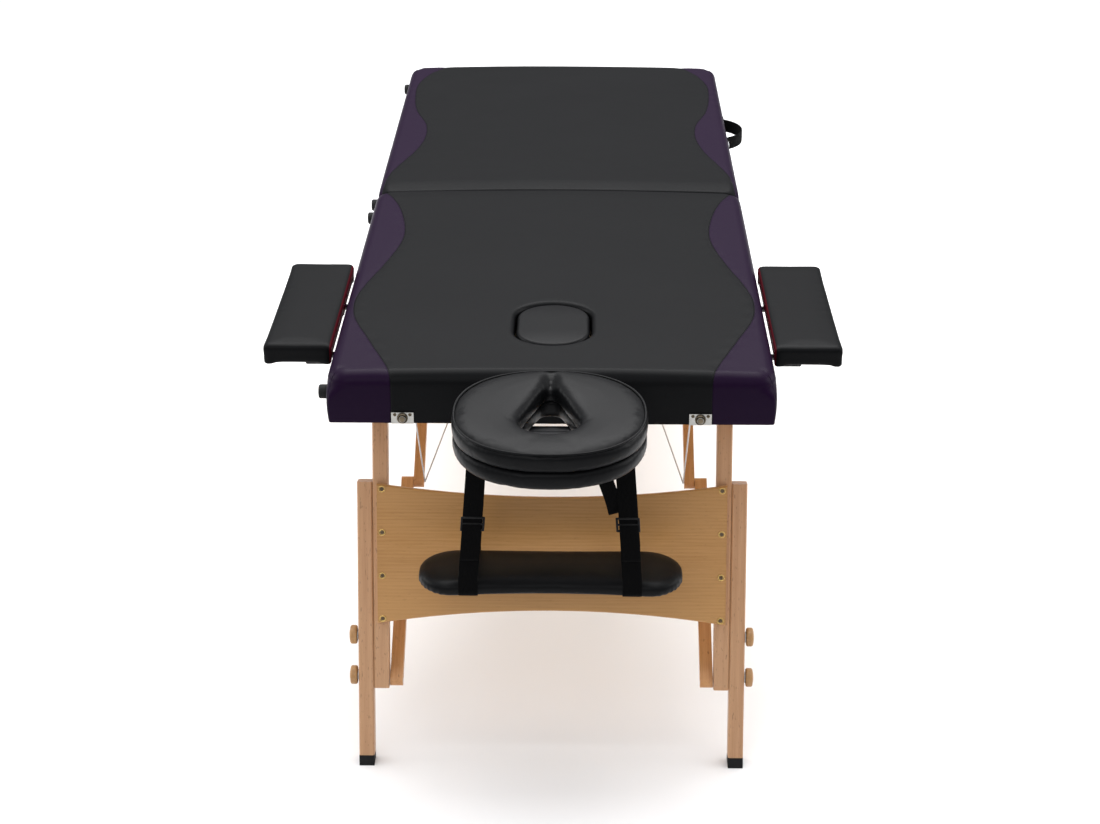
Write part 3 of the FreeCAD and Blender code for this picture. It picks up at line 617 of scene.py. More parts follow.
@dataclass(frozen=True)
class Wood:
    """Lacquered wood whose grain runs along one direction."""

    name: str
    light: Colour
    dark: Colour
    turn: Triple
    bands: float = 26
    flecks: float = 0.5
    rough: float = 0.38

    def material(self) -> Material:
        """Returns: The material: broad warped bands, fine streaks along the grain and small dark flecks."""
        n = Nodes(self.name)
        turn = (self.turn[0], self.turn[1], 0.6)
        broad = n.places(turn, (1, 1, 0.05))
        fine = n.places(turn, (1, 1, 0.025))
        fleck_at = n.places(turn, (1, 1, 0.22))
        rings = n.add("TexWave", {
            "Vector": broad, "Scale": self.bands, "Distortion": 3.0, "Detail": 3.0, "Detail Scale": 1.2,
        }, wave_type="BANDS", bands_direction="X").outputs[1]
        cloud = n.noise(broad, 11, 4, 0.6, 0.3)
        streak = n.noise(fine, 620, 5, 0.65)
        share = n.math("ADD", n.math("MULTIPLY", rings, 0.16), n.math("MULTIPLY", cloud, 0.8))
        share = n.math("ADD", share, n.math("MULTIPLY", n.math("SUBTRACT", streak, 0.5), 0.9))
        base = n.mix(n.span(share, 0.2, 0.95), self.light, self.dark)
        spots = n.noise(fleck_at, 520, 1, 0.4)
        mark = n.span(spots, 0.66, 0.74, 0, self.flecks)
        base = n.mix(mark, base, [c * 0.38 for c in self.dark])
        wear = n.noise(n.places(), 7, 3)
        normal = n.bump(n.math("SUBTRACT", streak, n.math("MULTIPLY", mark, 0.6)), 0.00012)
        shine = n.span(wear, 0.3, 0.7, self.rough - 0.06, self.rough + 0.1)
        return n.finish(Base_Color=base, Roughness=shine, Normal=normal, Specular_IOR_Level=0.45,
                        Coat_Weight=0.12, Coat_Roughness=0.25)


@dataclass(frozen=True)
class Metal:
    """Metal with brushed streaks and small scratches."""

    name: str
    colour: Colour
    rough: float
    metallic: float = 1.0
    stretch: Triple = (1, 1, 0.05)

    def material(self) -> Material:
        """Returns: The material: streaks drive the roughness, pitting the bump, cloudy wear the colour."""
        n = Nodes(self.name)
        streak = n.noise(n.places(scale=self.stretch), 900, 3, 0.6)
        cloud = n.noise(n.places(), 45, 4)
        pits = n.noise(n.places(), 1500, 2)
        base = n.mix(n.span(cloud, 0.35, 0.75, 0, 0.5), self.colour, [c * 0.6 for c in self.colour])
        shine = n.span(streak, 0.2, 0.8, self.rough * 0.7, self.rough * 1.3)
        normal = n.bump(n.math("ADD", pits, streak), 0.00004)
        return n.finish(Base_Color=base, Roughness=shine, Normal=normal, Metallic=self.metallic)


@dataclass(frozen=True)
class Rubber:
    """Matt moulded rubber or plastic."""

    name: str
    colour: Colour
    rough: float = 0.72

    def material(self) -> Material:
        """Returns: The material: fine pitted bump, dusty mottling."""
        n = Nodes(self.name)
        at = n.places()
        pits = n.noise(at, 1300, 3, 0.7)
        dust = n.noise(at, 60, 5, 0.65)
        base = n.mix(n.span(dust, 0.45, 0.8, 0, 0.5), self.colour, [c * 1.8 + 0.004 for c in self.colour])
        shine = n.span(dust, 0.3, 0.8, self.rough - 0.1, self.rough + 0.12)
        normal = n.bump(pits, 0.00009)
        return n.finish(Base_Color=base, Roughness=shine, Normal=normal, Specular_IOR_Level=0.2)


@dataclass(frozen=True)
class Webbing:
    """Woven strap, its weave laid out by the UV map in metres along and across."""

    name: str
    colour: Colour
    pick: float = 0.0019

    def material(self) -> Material:
        """Returns: The material: twill of crossing threads with raised edges, painted shade darkening the
        hollows between them, and a little fluff.
        """
        n = Nodes(self.name)
        at = n.add("TexCoord").outputs["UV"]
        parts = n.add("SeparateXYZ", {0: at})
        along = n.math("MULTIPLY", parts.outputs[0], FULL_TURN / self.pick)
        across = n.math("MULTIPLY", parts.outputs[1], FULL_TURN / self.pick)
        warp = n.math("SINE", n.math("ADD", along, n.math("MULTIPLY", across, 0.5)))
        weft = n.math("SINE", across)
        raised = n.math("MULTIPLY", n.math("ABSOLUTE", warp), 0.5)
        weave = n.math("ADD", raised, n.math("MULTIPLY", weft, 0.5))
        fluff = n.noise(n.places(), 1800, 3)
        # Painted shade: the colour falls to 0.4 of itself in the weave's hollows between the threads.
        base = n.mix(n.span(weave, -0.4, 0.9), [c * 0.4 for c in self.colour], self.colour)
        base = n.mix(n.math("MULTIPLY", fluff, 0.3), base, [c * 2 for c in self.colour])
        normal = n.bump(n.math("ADD", weave, n.math("MULTIPLY", fluff, 0.4)), 0.0003)
        return n.finish(Base_Color=base, Roughness=0.78, Normal=normal, Specular_IOR_Level=0.04,
                        Sheen_Weight=0.01, Sheen_Roughness=0.5)


def dress(thing: Piece, *materials: Material) -> Piece:
    """Give an object its materials.

    Args:
        thing: Object or kept node.
        materials: Materials of its slots.
    Returns: The object.
    """
    thing.data.materials.clear()
    for material in materials:
        thing.data.materials.append(material)
    return thing


def mount(soup: Soup, name: str, material: Material, body: str,
          crease: float | None = None) -> Piece:
    """Build a piece, dress it and let it ride on a body.

    Args:
        soup: Its grids.
        name: Piece name.
        material: Its finish.
        body: Body that it rides on.
        crease: Angle above which its edges stay sharp.
    Returns: The piece.
    """
    piece = dress(soup.build(name, crease=crease), material)
    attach(piece, body)
    return piece


def declare_pad(piece: Piece, body: str, node: str) -> None:
    """Let a soft vinyl piece ride on a body and hide the node that it stands for.

    Args:
        piece: The piece.
        body: Body that it rides on.
        node: Node that it replaces.
    """
    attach(piece, body)
    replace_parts(piece, node)


def dress_node(name: str, material: Material) -> None:
    """Give a kept node its finish.

    Args:
        name: Node name.
        material: Its material.
    """
    dress(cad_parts[name], material)


@dataclass(frozen=True)
class Palette:
    """Materials shared by the sub-assemblies."""

    top: Material
    black: Material
    arm: Material
    beech: dict[Half, Material]
    brace: dict[Half, Material]
    board: Material
    knob: Material
    rail: Material
    ply: Material
    steel: Material
    nickel: Material
    brass: Material
    dark: Material
    bar: Material
    rubber: Material
    plastic: Material
    webbing: Material


SPLAY = math.radians(14)
BRACE_LEAN = math.radians(56.2)
ALONG_X = (0.0, -math.pi / 2, 0.0)
ALONG_Y = (math.pi / 2, 0.0, 0.0)
BEECH_LIGHT = (0.50, 0.285, 0.150)
BEECH_DARK = (0.37, 0.188, 0.088)


def make_palette() -> Palette:
    """Returns: The palette, each finish built once."""
    black = (0.0033, 0.0035, 0.0039)
    purple = (0.0082, 0.0020, 0.0132)
    beech = {
        half: Wood(f"beech_{half.tag}", BEECH_LIGHT, BEECH_DARK, (-half.value * SPLAY, 0, 0)).material()
        for half in Half
    }
    brace = {
        half: Wood(f"brace_{half.tag}", (0.56, 0.285, 0.11), (0.41, 0.18, 0.06),
                   (-half.value * BRACE_LEAN, 0, 0)).material()
        for half in Half
    }
    return Palette(
        top=Vinyl("vinyl_two_tone", black, purple).material(),
        black=Vinyl("vinyl_black", black, rough=0.36, gloss=0.082).material(),
        arm=Vinyl("vinyl_lined", black, lining=(0.055, 0.003, 0.006)).material(),
        beech=beech,
        brace=brace,
        board=Wood("board_veneer", (0.46, 0.245, 0.084), (0.34, 0.165, 0.048), ALONG_X,
                   60, 0.15, 0.34).material(),
        knob=Wood("knob_beech", (0.42, 0.23, 0.085), (0.30, 0.15, 0.05), (0, 0, 0), 40, 0.3, 0.42).material(),
        rail=Wood("rail_pine", (0.63, 0.44, 0.245), (0.50, 0.31, 0.15), ALONG_Y, 30, 0.2, 0.55).material(),
        ply=Wood("deck_ply", (0.60, 0.45, 0.28), (0.46, 0.31, 0.17), ALONG_Y, 12, 0.2, 0.6).material(),
        steel=Metal("zinc_steel", (0.56, 0.57, 0.58), 0.34).material(),
        nickel=Metal("nickel_plate", (0.42, 0.415, 0.39), 0.34, stretch=(0.05, 1, 1)).material(),
        brass=Metal("brass", (0.62, 0.42, 0.15), 0.32).material(),
        dark=Metal("aged_steel", (0.16, 0.13, 0.09), 0.4).material(),
        # Black enamel of the headrest frame; on the armrest dowels the same black is painted shade of the gap
        # under the pads.
        bar=Metal("black_enamel", (0.016, 0.016, 0.018), 0.36, 0.0).material(),
        rubber=Rubber("rubber", (0.008, 0.008, 0.0085)).material(),
        plastic=Rubber("moulded_plastic", (0.003, 0.003, 0.0032), 0.45).material(),
        webbing=Webbing("webbing", (0.0022, 0.0022, 0.0024)).material(),
    )


# Screws and turned pieces


def screw_head(spot: Array, axis: Array, radius: float, height: float) -> Array:
    """Domed screw head with a cross slot: a polar dome, pressed down where it is near either slot's line.

    Args:
        spot: Middle of the head on the surface.
        axis: Way it faces.
        radius: Head radius.
        height: Dome height.
    Returns: Grid of points from the foot to the middle.
    """
    shares = np.array([1.0, 1.0, 0.93, 0.82, 0.68, 0.56, 0.44, 0.32, 0.2, 0.0])
    lift = height * np.sqrt(np.maximum(0, 1 - (shares * 0.88) ** 2))
    lift[0], lift[1] = -0.3 * height, 0.12 * height
    grid = lathe(np.stack([radius * shares, np.zeros(len(shares))], 1), np.zeros(3), axis, 32)
    turn = np.linspace(0, FULL_TURN, 32, endpoint=False) + 0.35
    near = np.minimum(np.abs(np.sin(turn)), np.abs(np.cos(turn)))
    slot = ease((0.16 - near[None] * shares[:, None]) / 0.1) * ease((0.74 - shares[:, None]) / 0.1)
    rise = lift[:, None] - 0.75 * height * slot
    along = np.asarray(axis, float) / np.linalg.norm(axis)
    return grid + np.asarray(spot) + rise[..., None] * along


def round_profile(radius: float, low: float, high: float, edge: float, dome: float) -> Array:
    """Profile of a turned disc: flat foot, straight side with round edges, domed face.

    Args:
        radius: Disc radius.
        low: Height of its foot.
        high: Height of its rim.
        edge: Edge radius.
        dome: Rise of the face's middle above its rim.
    Returns: (N, 2) radii and heights.
    """
    quarter = np.linspace(0, math.pi / 2, 7)
    lower = np.stack([radius - edge + edge * np.sin(quarter), low + edge - edge * np.cos(quarter)], 1)
    upper = np.stack([radius - edge + edge * np.cos(quarter), high - edge + edge * np.sin(quarter)], 1)
    share = np.linspace(1, 0, 8)[1:]
    face = np.stack([(radius - edge) * share, high + dome * (1 - share ** 2)], 1)
    return np.vstack([[0, low], lower, upper, face])


# Sub-assemblies


@dataclass
class TopHalf:
    """Padded half of the top: black middle, purple sides, face hole in the head half."""

    half: Half
    paint: Palette
    seam_points: tuple[tuple[float, float], ...]
    half_width: float = 0.340
    start: float = 0.0005
    end: float = 0.930
    bottom: float = 0.580
    deck: float = 0.624
    top: float = 0.660
    roll: float = 0.020
    tuck: float = 0.0025
    skirt: float = 0.0039
    crown: float = 0.005
    hole_half: tuple[float, float] = (0.061, 0.093)
    hole_place: float = 0.718
    lip: float = 0.009
    fold_drop: float = 0.0070
    fold_run: float = 0.060
    drop_from: float = 0.62
    drop_over: float = 0.04
    pull: float = 0.011
    pull_start: float = 0.02
    pull_run: float = 0.08
    upper_from: float = 0.632
    upper_over: float = 0.02
    pucker_reach: float = 0.016
    pucker_pitch: float = 0.047
    pucker_depth: float = 0.00025
    uneven_depth: float = 0.0004
    seam_dip: tuple[float, float] = (0.0010, 0.007)
    pleat_dip: tuple[float, float] = (0.0012, 0.006)
    step: float = 0.0075
    top_rows: int = 72

    def seam(self, x: Array, y: Array) -> Array:
        """Signed distance to the seam: how far |x| lies beyond its curve, times the cosine of its slope.

        Args:
            x: Places across.
            y: Distances from the fold.
        Returns: Distances, positive on the side panels.
        """
        knots, values = np.array(self.seam_points).T
        small = 0.002
        slope = (hermite(y + small, knots, values) - hermite(y - small, knots, values)) / (2 * small)
        return (np.abs(x) - hermite(y, knots, values)) / np.sqrt(1 + slope ** 2)

    def pleat(self, x: Array, y: Array) -> Array:
        """Distance to the pleats that run in from the two outer corners.

        Args:
            x: Places across.
            y: Distances from the fold.
        Returns: Distances.
        """
        from_corner = np.stack([self.half_width - np.abs(x), self.end - y], -1)
        along = np.clip(from_corner @ np.array([0.6, 0.8]), 0, 0.034)
        return np.linalg.norm(from_corner - along[..., None] * np.array([0.6, 0.8]), axis=-1)

    def outline(self, inset: float, radius: float) -> Array:
        """Outline of the half at an inset.

        Args:
            inset: Distance in from the widest outline.
            radius: Corner radius.
        Returns: (N, 2) points round the half's own middle.
        """
        half_y = (self.end - self.start) / 2
        across = round(2 * self.half_width / self.step)
        along = round(2 * half_y / self.step)
        return rounded_box_counts(self.half_width - inset, half_y - inset, radius, across, along, 10)

    def core(self, outer: Array) -> Array:
        """Where the outline's points run to: the face hole's edge, or the middle line of a half without one.

        Args:
            outer: (N, 2) outline.
        Returns: (N, 2) points.
        """
        middle = (self.start + self.end) / 2
        if self.half is Half.FOOT:
            reach = (self.end - self.start) / 2 - self.half_width
            return np.stack([np.zeros(len(outer)), np.clip(outer[:, 1], -reach, reach)], 1)
        centre = np.array([0, self.hole_place - middle])
        ray = outer - centre
        ray = ray / np.linalg.norm(ray, axis=1)[:, None]
        radius, length = self.hole_half
        straight = length - radius
        c, s = np.abs(ray[:, 0]), np.abs(ray[:, 1])
        side = radius / np.maximum(c, 1e-6)
        round_end = straight * s + np.sqrt(np.maximum(0, radius ** 2 - (straight * c) ** 2))
        return centre + ray * np.where(side * s <= straight, side, round_end)[:, None]

    def rows(self) -> tuple[Array, Array]:
        """Rows of the skin, from the deck out under the rim, up the side, over the roll and in over the top.

        Returns: (rows, N, 2) plan points and (rows, N) heights.
        """
        plan, level = [], []

        def row(points: Array, height: Array | float) -> None:
            """Add a row of plan points at one height or one for each."""
            plan.append(points)
            level.append(np.broadcast_to(height, len(points)).astype(float))

        inner = self.outline(self.skirt, 0.001)
        hole = self.core(self.outline(self.roll, 0.019))
        row(hole, self.deck)
        for share in (0.5, 1.0):
            row(towards(hole, inner, share), self.deck)
        row(inner, self.bottom + 0.0005)
        row(self.outline(self.tuck + 0.0006, 0.004), self.bottom)
        rise = self.top - self.roll - self.bottom
        for share in np.linspace(0.02, 1, 10):
            bow = 0.0012 * math.sin(math.pi * share)
            points = self.outline(self.tuck * (1 - share) - bow, 0.004 + 0.030 * share ** 4)
            row(points, self.bottom + share * rise)
        for angle in np.linspace(0, math.pi / 2, 12)[1:]:
            inset = self.roll * (1 - math.cos(angle))
            points = self.outline(inset, 0.034 - 0.75 * inset)
            lift = self.rise(points[:, 0]) * math.sin(angle)
            row(points, self.top - self.roll + self.roll * math.sin(angle) + lift)
        edge = plan[-1]
        lip = hole if self.half is Half.FOOT else self.widened(hole, self.lip)
        for share in np.linspace(0, 1, self.top_rows)[1:]:
            points = towards(edge, lip, share)
            row(points, self.top + self.rise(points[:, 0]))
        if self.half is Half.HEAD:
            for angle in np.linspace(0, math.pi / 2, 7)[1:]:
                points = self.widened(hole, self.lip * (1 - math.sin(angle)))
                row(points, self.top + self.rise(points[:, 0]) - self.lip * (1 - math.cos(angle)))
            row(hole, self.deck + 0.012)
        return np.array(plan), np.array(level)

    def rise(self, x: Array) -> Array:
        """Crown of the top: a parabola across its width.

        Args:
            x: Places across.
        Returns: Heights above the edge.
        """
        return self.crown * np.clip(1 - (x / (self.half_width - self.roll)) ** 2, 0, 1)

    def widened(self, hole: Array, grow: float) -> Array:
        """The hole's edge moved outwards from its middle.

        Args:
            hole: (N, 2) edge.
            grow: Distance.
        Returns: (N, 2) points.
        """
        centre = np.array([0, self.hole_place - (self.start + self.end) / 2])
        ray = hole - centre
        return hole + grow * ray / np.linalg.norm(ray, axis=1)[:, None]

    def build(self) -> None:
        """Make the padded skin with its seam valley, faint puckers beside it and slow unevenness."""
        plan, level = self.rows()
        x = plan[..., 0]
        y = plan[..., 1] + (self.start + self.end) / 2
        from_fold = y - self.start
        high_up = ease((level - self.drop_from) / self.drop_over)
        level = level - self.fold_drop * high_up * (1 - ease(from_fold / self.fold_run))
        beyond = ease((from_fold - self.pull_start) / self.pull_run)
        y = y - self.pull * ease(from_fold / self.pull_start) * (1 - beyond)
        seam, pleat = self.seam(x, y), self.pleat(x, y)
        upper = ease((level - self.upper_from) / self.upper_over)
        ripple = np.sin(y * FULL_TURN / self.pucker_pitch + 4 * x)
        pucker = bell(seam, self.pucker_reach) * ripple * self.pucker_depth
        uneven = self.uneven_depth * np.sin(11 * x + 7 * y + 1) * np.sin(13 * y - 5 * x)
        (seam_deep, seam_wide), (pleat_deep, pleat_wide) = self.seam_dip, self.pleat_dip
        relief = pucker + uneven - seam_deep * bell(seam, seam_wide) - pleat_deep * bell(pleat, pleat_wide)
        level = level + upper * relief
        grid = np.stack([x, y, level], -1)
        if self.half is Half.HEAD:
            grid = grid * np.array([-1, -1, 1])
        soup = Soup().add(grid, wrap_rows=self.half is Half.HEAD)
        piece = soup.build(f"{self.half.tag}_top", {"seam": seam, "pleat": pleat})
        dress(piece, self.paint.top)
        declare_pad(piece, f"{self.half.tag}_half", f"{self.half.tag}_cushion")


@dataclass
class FacePlug:
    """Oval pad that closes the face hole."""

    paint: Palette
    half_width: float = 0.058
    half_length: float = 0.090
    place: float = -0.718
    low: float = 0.6243
    high: float = 0.6655

    def build(self) -> None:
        """Make the plug: a stadium with a straight side, a rolled edge and a low dome for its face."""
        outer = rounded_box(self.half_width, self.half_length, self.half_width - 0.0005, 0.004, 34)
        core = np.stack([np.zeros(len(outer)), np.clip(outer[:, 1], -0.032, 0.032)], 1)
        steps = [(1.0, 0.0), (0.5, 0.0), (0.04, 0.0), (0.0, 0.004), (0.0, 0.018), (0.004, 0.028)]
        thick = self.high - self.low
        rows = [ring3(towards(outer, core, share), self.low + rise) for share, rise in steps]
        for angle in np.linspace(0.15, math.pi / 2, 9):
            share = 0.11 * (1 - math.cos(angle))
            level = self.low + thick - 0.0105 + 0.008 * math.sin(angle)
            rows.append(ring3(towards(outer, core, share), level))
        for share in np.linspace(0.11, 1, 16)[1:]:
            dome = 0.0025 * (1 - ((1 - share) / 0.89) ** 2)
            rows.append(ring3(towards(outer, core, share), self.low + thick - 0.0025 + dome))
        grid = np.array(rows) + np.array([0, self.place, 0])
        piece = dress(Soup().add(grid).build("face_plug_pad"), self.paint.black)
        soften(piece)
        declare_pad(piece, "face_plug", "face_plug")


@dataclass
class Headrest:
    """Oval face cushion over its padded platform, both with a teardrop opening; both lean with the rest."""

    paint: Palette
    pivot_y: float = 1.000
    pivot_z: float = 0.600
    tilt: float = math.radians(3.3)
    middle: float = 0.086
    half_x: float = 0.143
    half_y: float = 0.141
    face_half: float = 0.039
    face_big: float = 0.111
    face_small: float = 0.008
    face_tip: float = 0.008
    welt_inset: float = 0.0052
    welt_level: float = 0.0735
    welt_radius: float = 0.0019
    power: float = 0.88
    points: int = 220

    def place(self, local: Array) -> Array:
        """From the rest's own frame to the table's: lean about X, move to the pivot, turn to the head end.

        Args:
            local: (..., 3) points.
        Returns: (..., 3) points.
        """
        x, y, z = np.moveaxis(local, -1, 0)
        c, s = math.cos(self.tilt), math.sin(self.tilt)
        return np.stack([-x, -(c * y + s * z + self.pivot_y), -s * y + c * z + self.pivot_z], -1)

    def opening(self, angles: Array, grow: float) -> Array:
        """Teardrop: the hull of a large and a small circle, taken at angles round the rest's middle.

        Args:
            angles: Angles.
            grow: Growth outwards.
        Returns: (N, 2) points relative to the middle.
        """
        big, small = self.face_half + grow, self.face_tip + grow
        lean = math.asin((big - small) / (self.face_big - self.face_small))
        front = np.linspace(-lean, math.pi + lean, 120)
        back = np.linspace(math.pi + lean, FULL_TURN - lean, 60)
        shape = np.vstack([
            np.stack([big * np.cos(front), self.face_big + big * np.sin(front)], 1),
            np.stack([small * np.cos(back), self.face_small + small * np.sin(back)], 1),
        ])
        dense = even_path(ring3(shape, 0), 0.0008, True)[:, :2]
        return polar_outline(dense - np.array([0, self.middle]), angles)

    def pad(self, name: str, low: float, high: float, inset: float, grow: float, crown: float,
            groove: float, square: tuple[float, float, float]) -> Piece:
        """A ring pad: a squarish loop of section is carried round between the oval and the opening.

        Args:
            name: Piece name.
            low: Height of its underside in the rest's frame.
            high: Height of its top edge.
            inset: Inset of the oval.
            grow: Growth of the opening.
            crown: Rise of the top between the edges.
            groove: Depth of the groove from the opening's tip towards the table.
            square: Powers that shape the section across, above and below; smaller is squarer.
        Returns: The piece.
        """
        angles = np.linspace(0, FULL_TURN, self.points, endpoint=False)
        outer = np.stack([
            (self.half_x - inset) * powered(np.cos(angles), self.power),
            (self.half_y - inset) * powered(np.sin(angles), self.power),
        ], 1)
        outer = polar_outline(outer, angles)
        inner = self.opening(angles, grow)
        turn = np.linspace(0, FULL_TURN, 64, endpoint=False)
        share = 0.5 - 0.5 * powered(np.cos(turn), square[0])
        up = powered(np.sin(turn), np.where(np.sin(turn) > 0, square[1], square[2]))
        flat = outer[None] + (inner - outer)[None] * share[:, None, None]
        height = (low + high) / 2 + up[:, None] * (high - low) / 2 + np.zeros((1, self.points))
        top = ease(up)[:, None]
        height = height + top * crown * np.sin(math.pi * share)[:, None]
        flat_y = flat[..., 1] + self.middle
        rim = self.middle - self.half_y
        slit = bell(flat[..., 0], 0.008) * ease((self.face_small + 0.012 - flat_y) / 0.02)
        slit = slit * (0.15 + 0.85 * ease((flat_y - rim - 0.004) / 0.036))
        height = height - top * slit * groove
        local = np.stack([flat[..., 0], flat_y, height], -1)
        piece = Soup().add(self.place(local), wrap_rows=True).build(name)
        return dress(piece, self.paint.black)

    def build_welt(self) -> None:
        """Make the piping sewn round the cushion's upper edge: a thin round section along the oval."""
        angles = np.linspace(0, FULL_TURN, self.points, endpoint=False)[:, None]
        turn = np.linspace(0, FULL_TURN, 10, endpoint=False)[None]
        out = self.welt_radius * np.cos(turn)
        x = (self.half_x - self.welt_inset + out) * powered(np.cos(angles), self.power)
        y = (self.half_y - self.welt_inset + out) * powered(np.sin(angles), self.power)
        z = self.welt_level + self.welt_radius * np.sin(turn) + 0 * angles
        grid = self.place(np.stack([x, y + self.middle, z], -1))
        welt = mount(Soup().add(grid, wrap_rows=True), "headrest_welt", self.paint.black, "headrest")

    def build(self) -> None:
        cushion = self.pad("headrest_cushion_pad", low=0.0440, high=0.0755, inset=0.001, grow=0.003,
                           crown=0.0025, groove=0.013, square=(0.36, 0.44, 0.26))
        platform = self.pad("headrest_platform_pad", low=0.0160, high=0.0472, inset=0.002, grow=0.008,
                            crown=0.0, groove=0.0, square=(0.34, 0.26, 0.9))
        self.build_welt()
        for piece, node in ((cushion, "headrest_cushion"), (platform, "headrest_platform")):
            puff(piece, voxel=0.0045, cap=0.0016)
            declare_pad(piece, "headrest", node)


@dataclass
class ArmShelf:
    """Soft shelf hanging from the rest's bar in two webbing loops."""

    paint: Palette
    half_x: float = 0.202
    half_y: float = 0.065
    low: float = 0.354
    high: float = 0.380
    place_y: float = -1.000
    hollow: float = 0.010
    end_radius: float = 0.058
    bar_z: float = 0.600
    bar_radius: float = 0.007
    strap_place: float = 0.120
    strap_width: float = 0.029
    strap_thick: float = 0.0016
    strap_play: float = 0.0004
    strap_lean: float = 0.016
    gather_pitch: float = 0.0105
    gather_out: float = 0.0011
    gather_down: float = 0.0007
    loose_tail: tuple[Triple, ...] = ((0.098, -1.026, 0.478), (0.093, -1.028, 0.500), (0.085, -1.026, 0.522),
                                      (0.078, -1.020, 0.541))
    loose_turn: float = 0.3
    slider_run: tuple[tuple[float, float], ...] = ((0.0292, 0.505), (0.0476, 0.425))
    slider_in: float = 0.0012
    tail_points: int = 14
    tail_out: float = 0.0024
    tail_curl: float = 0.004
    slider_reach: float = 0.010
    slider_bar: float = 0.0018
    cross_reach: float = 0.0095
    cross_bar: float = 0.0017

    def outline(self) -> Array:
        """Outline with round ends and a hollowed front.

        Returns: (N, 2) points.
        """
        points = rounded_box(self.half_x, self.half_y, self.end_radius, 0.005, 60)
        front = ease((-points[:, 1]) / self.half_y)
        points[:, 1] += front * self.hollow * np.clip(1 - (points[:, 0] / 0.165) ** 2, 0, 1)
        return points

    def build_pad(self) -> None:
        """Make the shelf's pad: round side, crowned top and small gathers low down at the ends."""
        outer = self.outline()
        reach = self.half_x - self.half_y
        core = np.stack([np.clip(outer[:, 0], -reach, reach), np.zeros(len(outer))], 1)
        thick = self.high - self.low
        rows = []
        for share in np.linspace(1, 0.12, 8):
            rows.append(ring3(towards(outer, core, share), self.low))
        edge = 0.3 * thick
        for turn in np.linspace(-math.pi / 2, 0, 9):
            plan = outer + (core - outer) * 0.12 * (1 - math.cos(turn))
            rows.append(ring3(plan, self.low + edge * (1 + math.sin(turn))))
        for turn in np.linspace(0, math.pi / 2, 26)[1:]:
            share = (1 - math.cos(turn)) ** 1.25
            level = self.low + edge + (thick - edge) * math.sin(turn) ** 0.75
            rows.append(ring3(towards(outer, core, share), level))
        grid = np.array(rows) + np.array([0, self.place_y, 0])
        piece = dress(Soup().add(grid).build("arm_shelf_pad"), self.paint.black)
        puff(piece, voxel=0.005, cap=0.0015)
        self.gather(piece)
        declare_pad(piece, "arm_shelf", "arm_shelf")

    def gather(self, piece: Piece) -> None:
        """Draw small gathers into the lower edge at both ends: a wave of the angle, strongest at the edge.

        Args:
            piece: The finished pad.
        """
        count = len(piece.data.vertices)
        flat = np.empty(count * 3, np.float32)
        piece.data.vertices.foreach_get("co", flat)
        points = flat.reshape(-1, 3)
        reach = self.half_x - self.end_radius
        centre = np.stack([np.sign(points[:, 0]) * reach, np.full(count, self.place_y)], 1)
        ray = points[:, :2] - centre
        angle = np.arctan2(ray[:, 1], np.abs(points[:, 0]) - reach)
        near = ease((np.abs(points[:, 0]) - 0.125) / 0.03) * bell(points[:, 2] - self.low - 0.003, 0.0045)
        rim = ease((np.linalg.norm(ray, axis=1) - 0.035) / 0.015)
        wave = np.sin(angle * self.end_radius * FULL_TURN / self.gather_pitch) * near * rim
        ray = ray / np.maximum(np.linalg.norm(ray, axis=1), 1e-6)[:, None]
        points[:, :2] += ray * (self.gather_out * wave)[:, None]
        points[:, 2] -= self.gather_down * wave
        piece.data.vertices.foreach_set("co", points.reshape(-1))
        piece.data.update()

    def loop(self) -> Array:
        """Loop of a strap: over the bar, down to the shelf's edges and flat round its underside.

        Returns: (N, 3) points at X = 0.
        """
        gap = self.strap_play + self.strap_thick / 2
        over = np.linspace(math.pi, 0, 25)
        around = (self.bar_radius + gap) * np.stack([np.cos(over), np.sin(over)], 1)
        wide, low, high = self.half_y + gap, self.low - gap, self.high - 0.006
        front = wide - 0.0045
        shelf = np.array([
            (wide - 0.001, high), (wide, low + 0.008), (wide - 0.008, low), (-front + 0.008, low),
            (-front, low + 0.006),
        ])
        flat = np.vstack([around + np.array([0, self.bar_z]), shelf])
        points = np.column_stack([np.zeros(len(flat)), flat[:, 0] + self.place_y, flat[:, 1]])
        return even_path(points, 0.003, True, 3)

    def lean(self, path: Array, side: Side) -> Array:
        """Move a strap's path to its side, drawn in towards the bar.

        Args:
            path: (N, 3) points at X = 0.
            side: Side of the strap.
        Returns: (N, 3) points.
        """
        up = (path[:, 2] - self.high) / (self.bar_z - self.high)
        x = side.value * (self.strap_place + 0.003 - self.strap_lean * np.clip(up, 0, 1.1))
        return path + np.stack([x, np.zeros(len(path)), np.zeros(len(path))], 1)

    def build_straps(self) -> None:
        """Make both loops with their sliders, and the loose tail of the right one."""
        path = self.loop()
        bands, plastic = Soup(), Soup()
        flat = facing(0, 1)
        for side in Side:
            grid, uv = band(self.lean(path, side), flat, self.strap_width, self.strap_thick, True)
            bands.add(grid, True, True, uv)
            run = np.array([[0, self.place_y - out, z] for out, z in self.slider_run])
            ends = self.lean(run, side)
            inward = np.array([-self.slider_in * side.value, 0, 0])
            self.slider(plastic, towards(*ends, 0.5) + inward, ends[1] - ends[0])
            tail = self.lean(towards(*run, np.linspace(0.5, 1.15, self.tail_points)[:, None]), side)
            tail[:, 1] -= self.tail_out + self.tail_curl * np.linspace(0, 1, self.tail_points) ** 2
            grid, uv = band(tail, flat, self.strap_width - 0.001, self.strap_thick, False)
            bands.add(grid, False, True, uv)
        loose = even_path(np.array(self.loose_tail), 0.003, False, 6)
        tilt = np.array([math.cos(self.loose_turn), 0, math.sin(self.loose_turn)])
        grid, uv = band(loose, tilt, self.strap_width - 0.006, self.strap_thick, False)
        bands.add(grid, False, True, uv)
        straps = mount(bands, "shelf_strap_loops", self.paint.webbing, "arm_shelf")
        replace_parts(straps, "shelf_straps")
        mount(plastic, "shelf_strap_sliders", self.paint.plastic, "arm_shelf", 0.7)

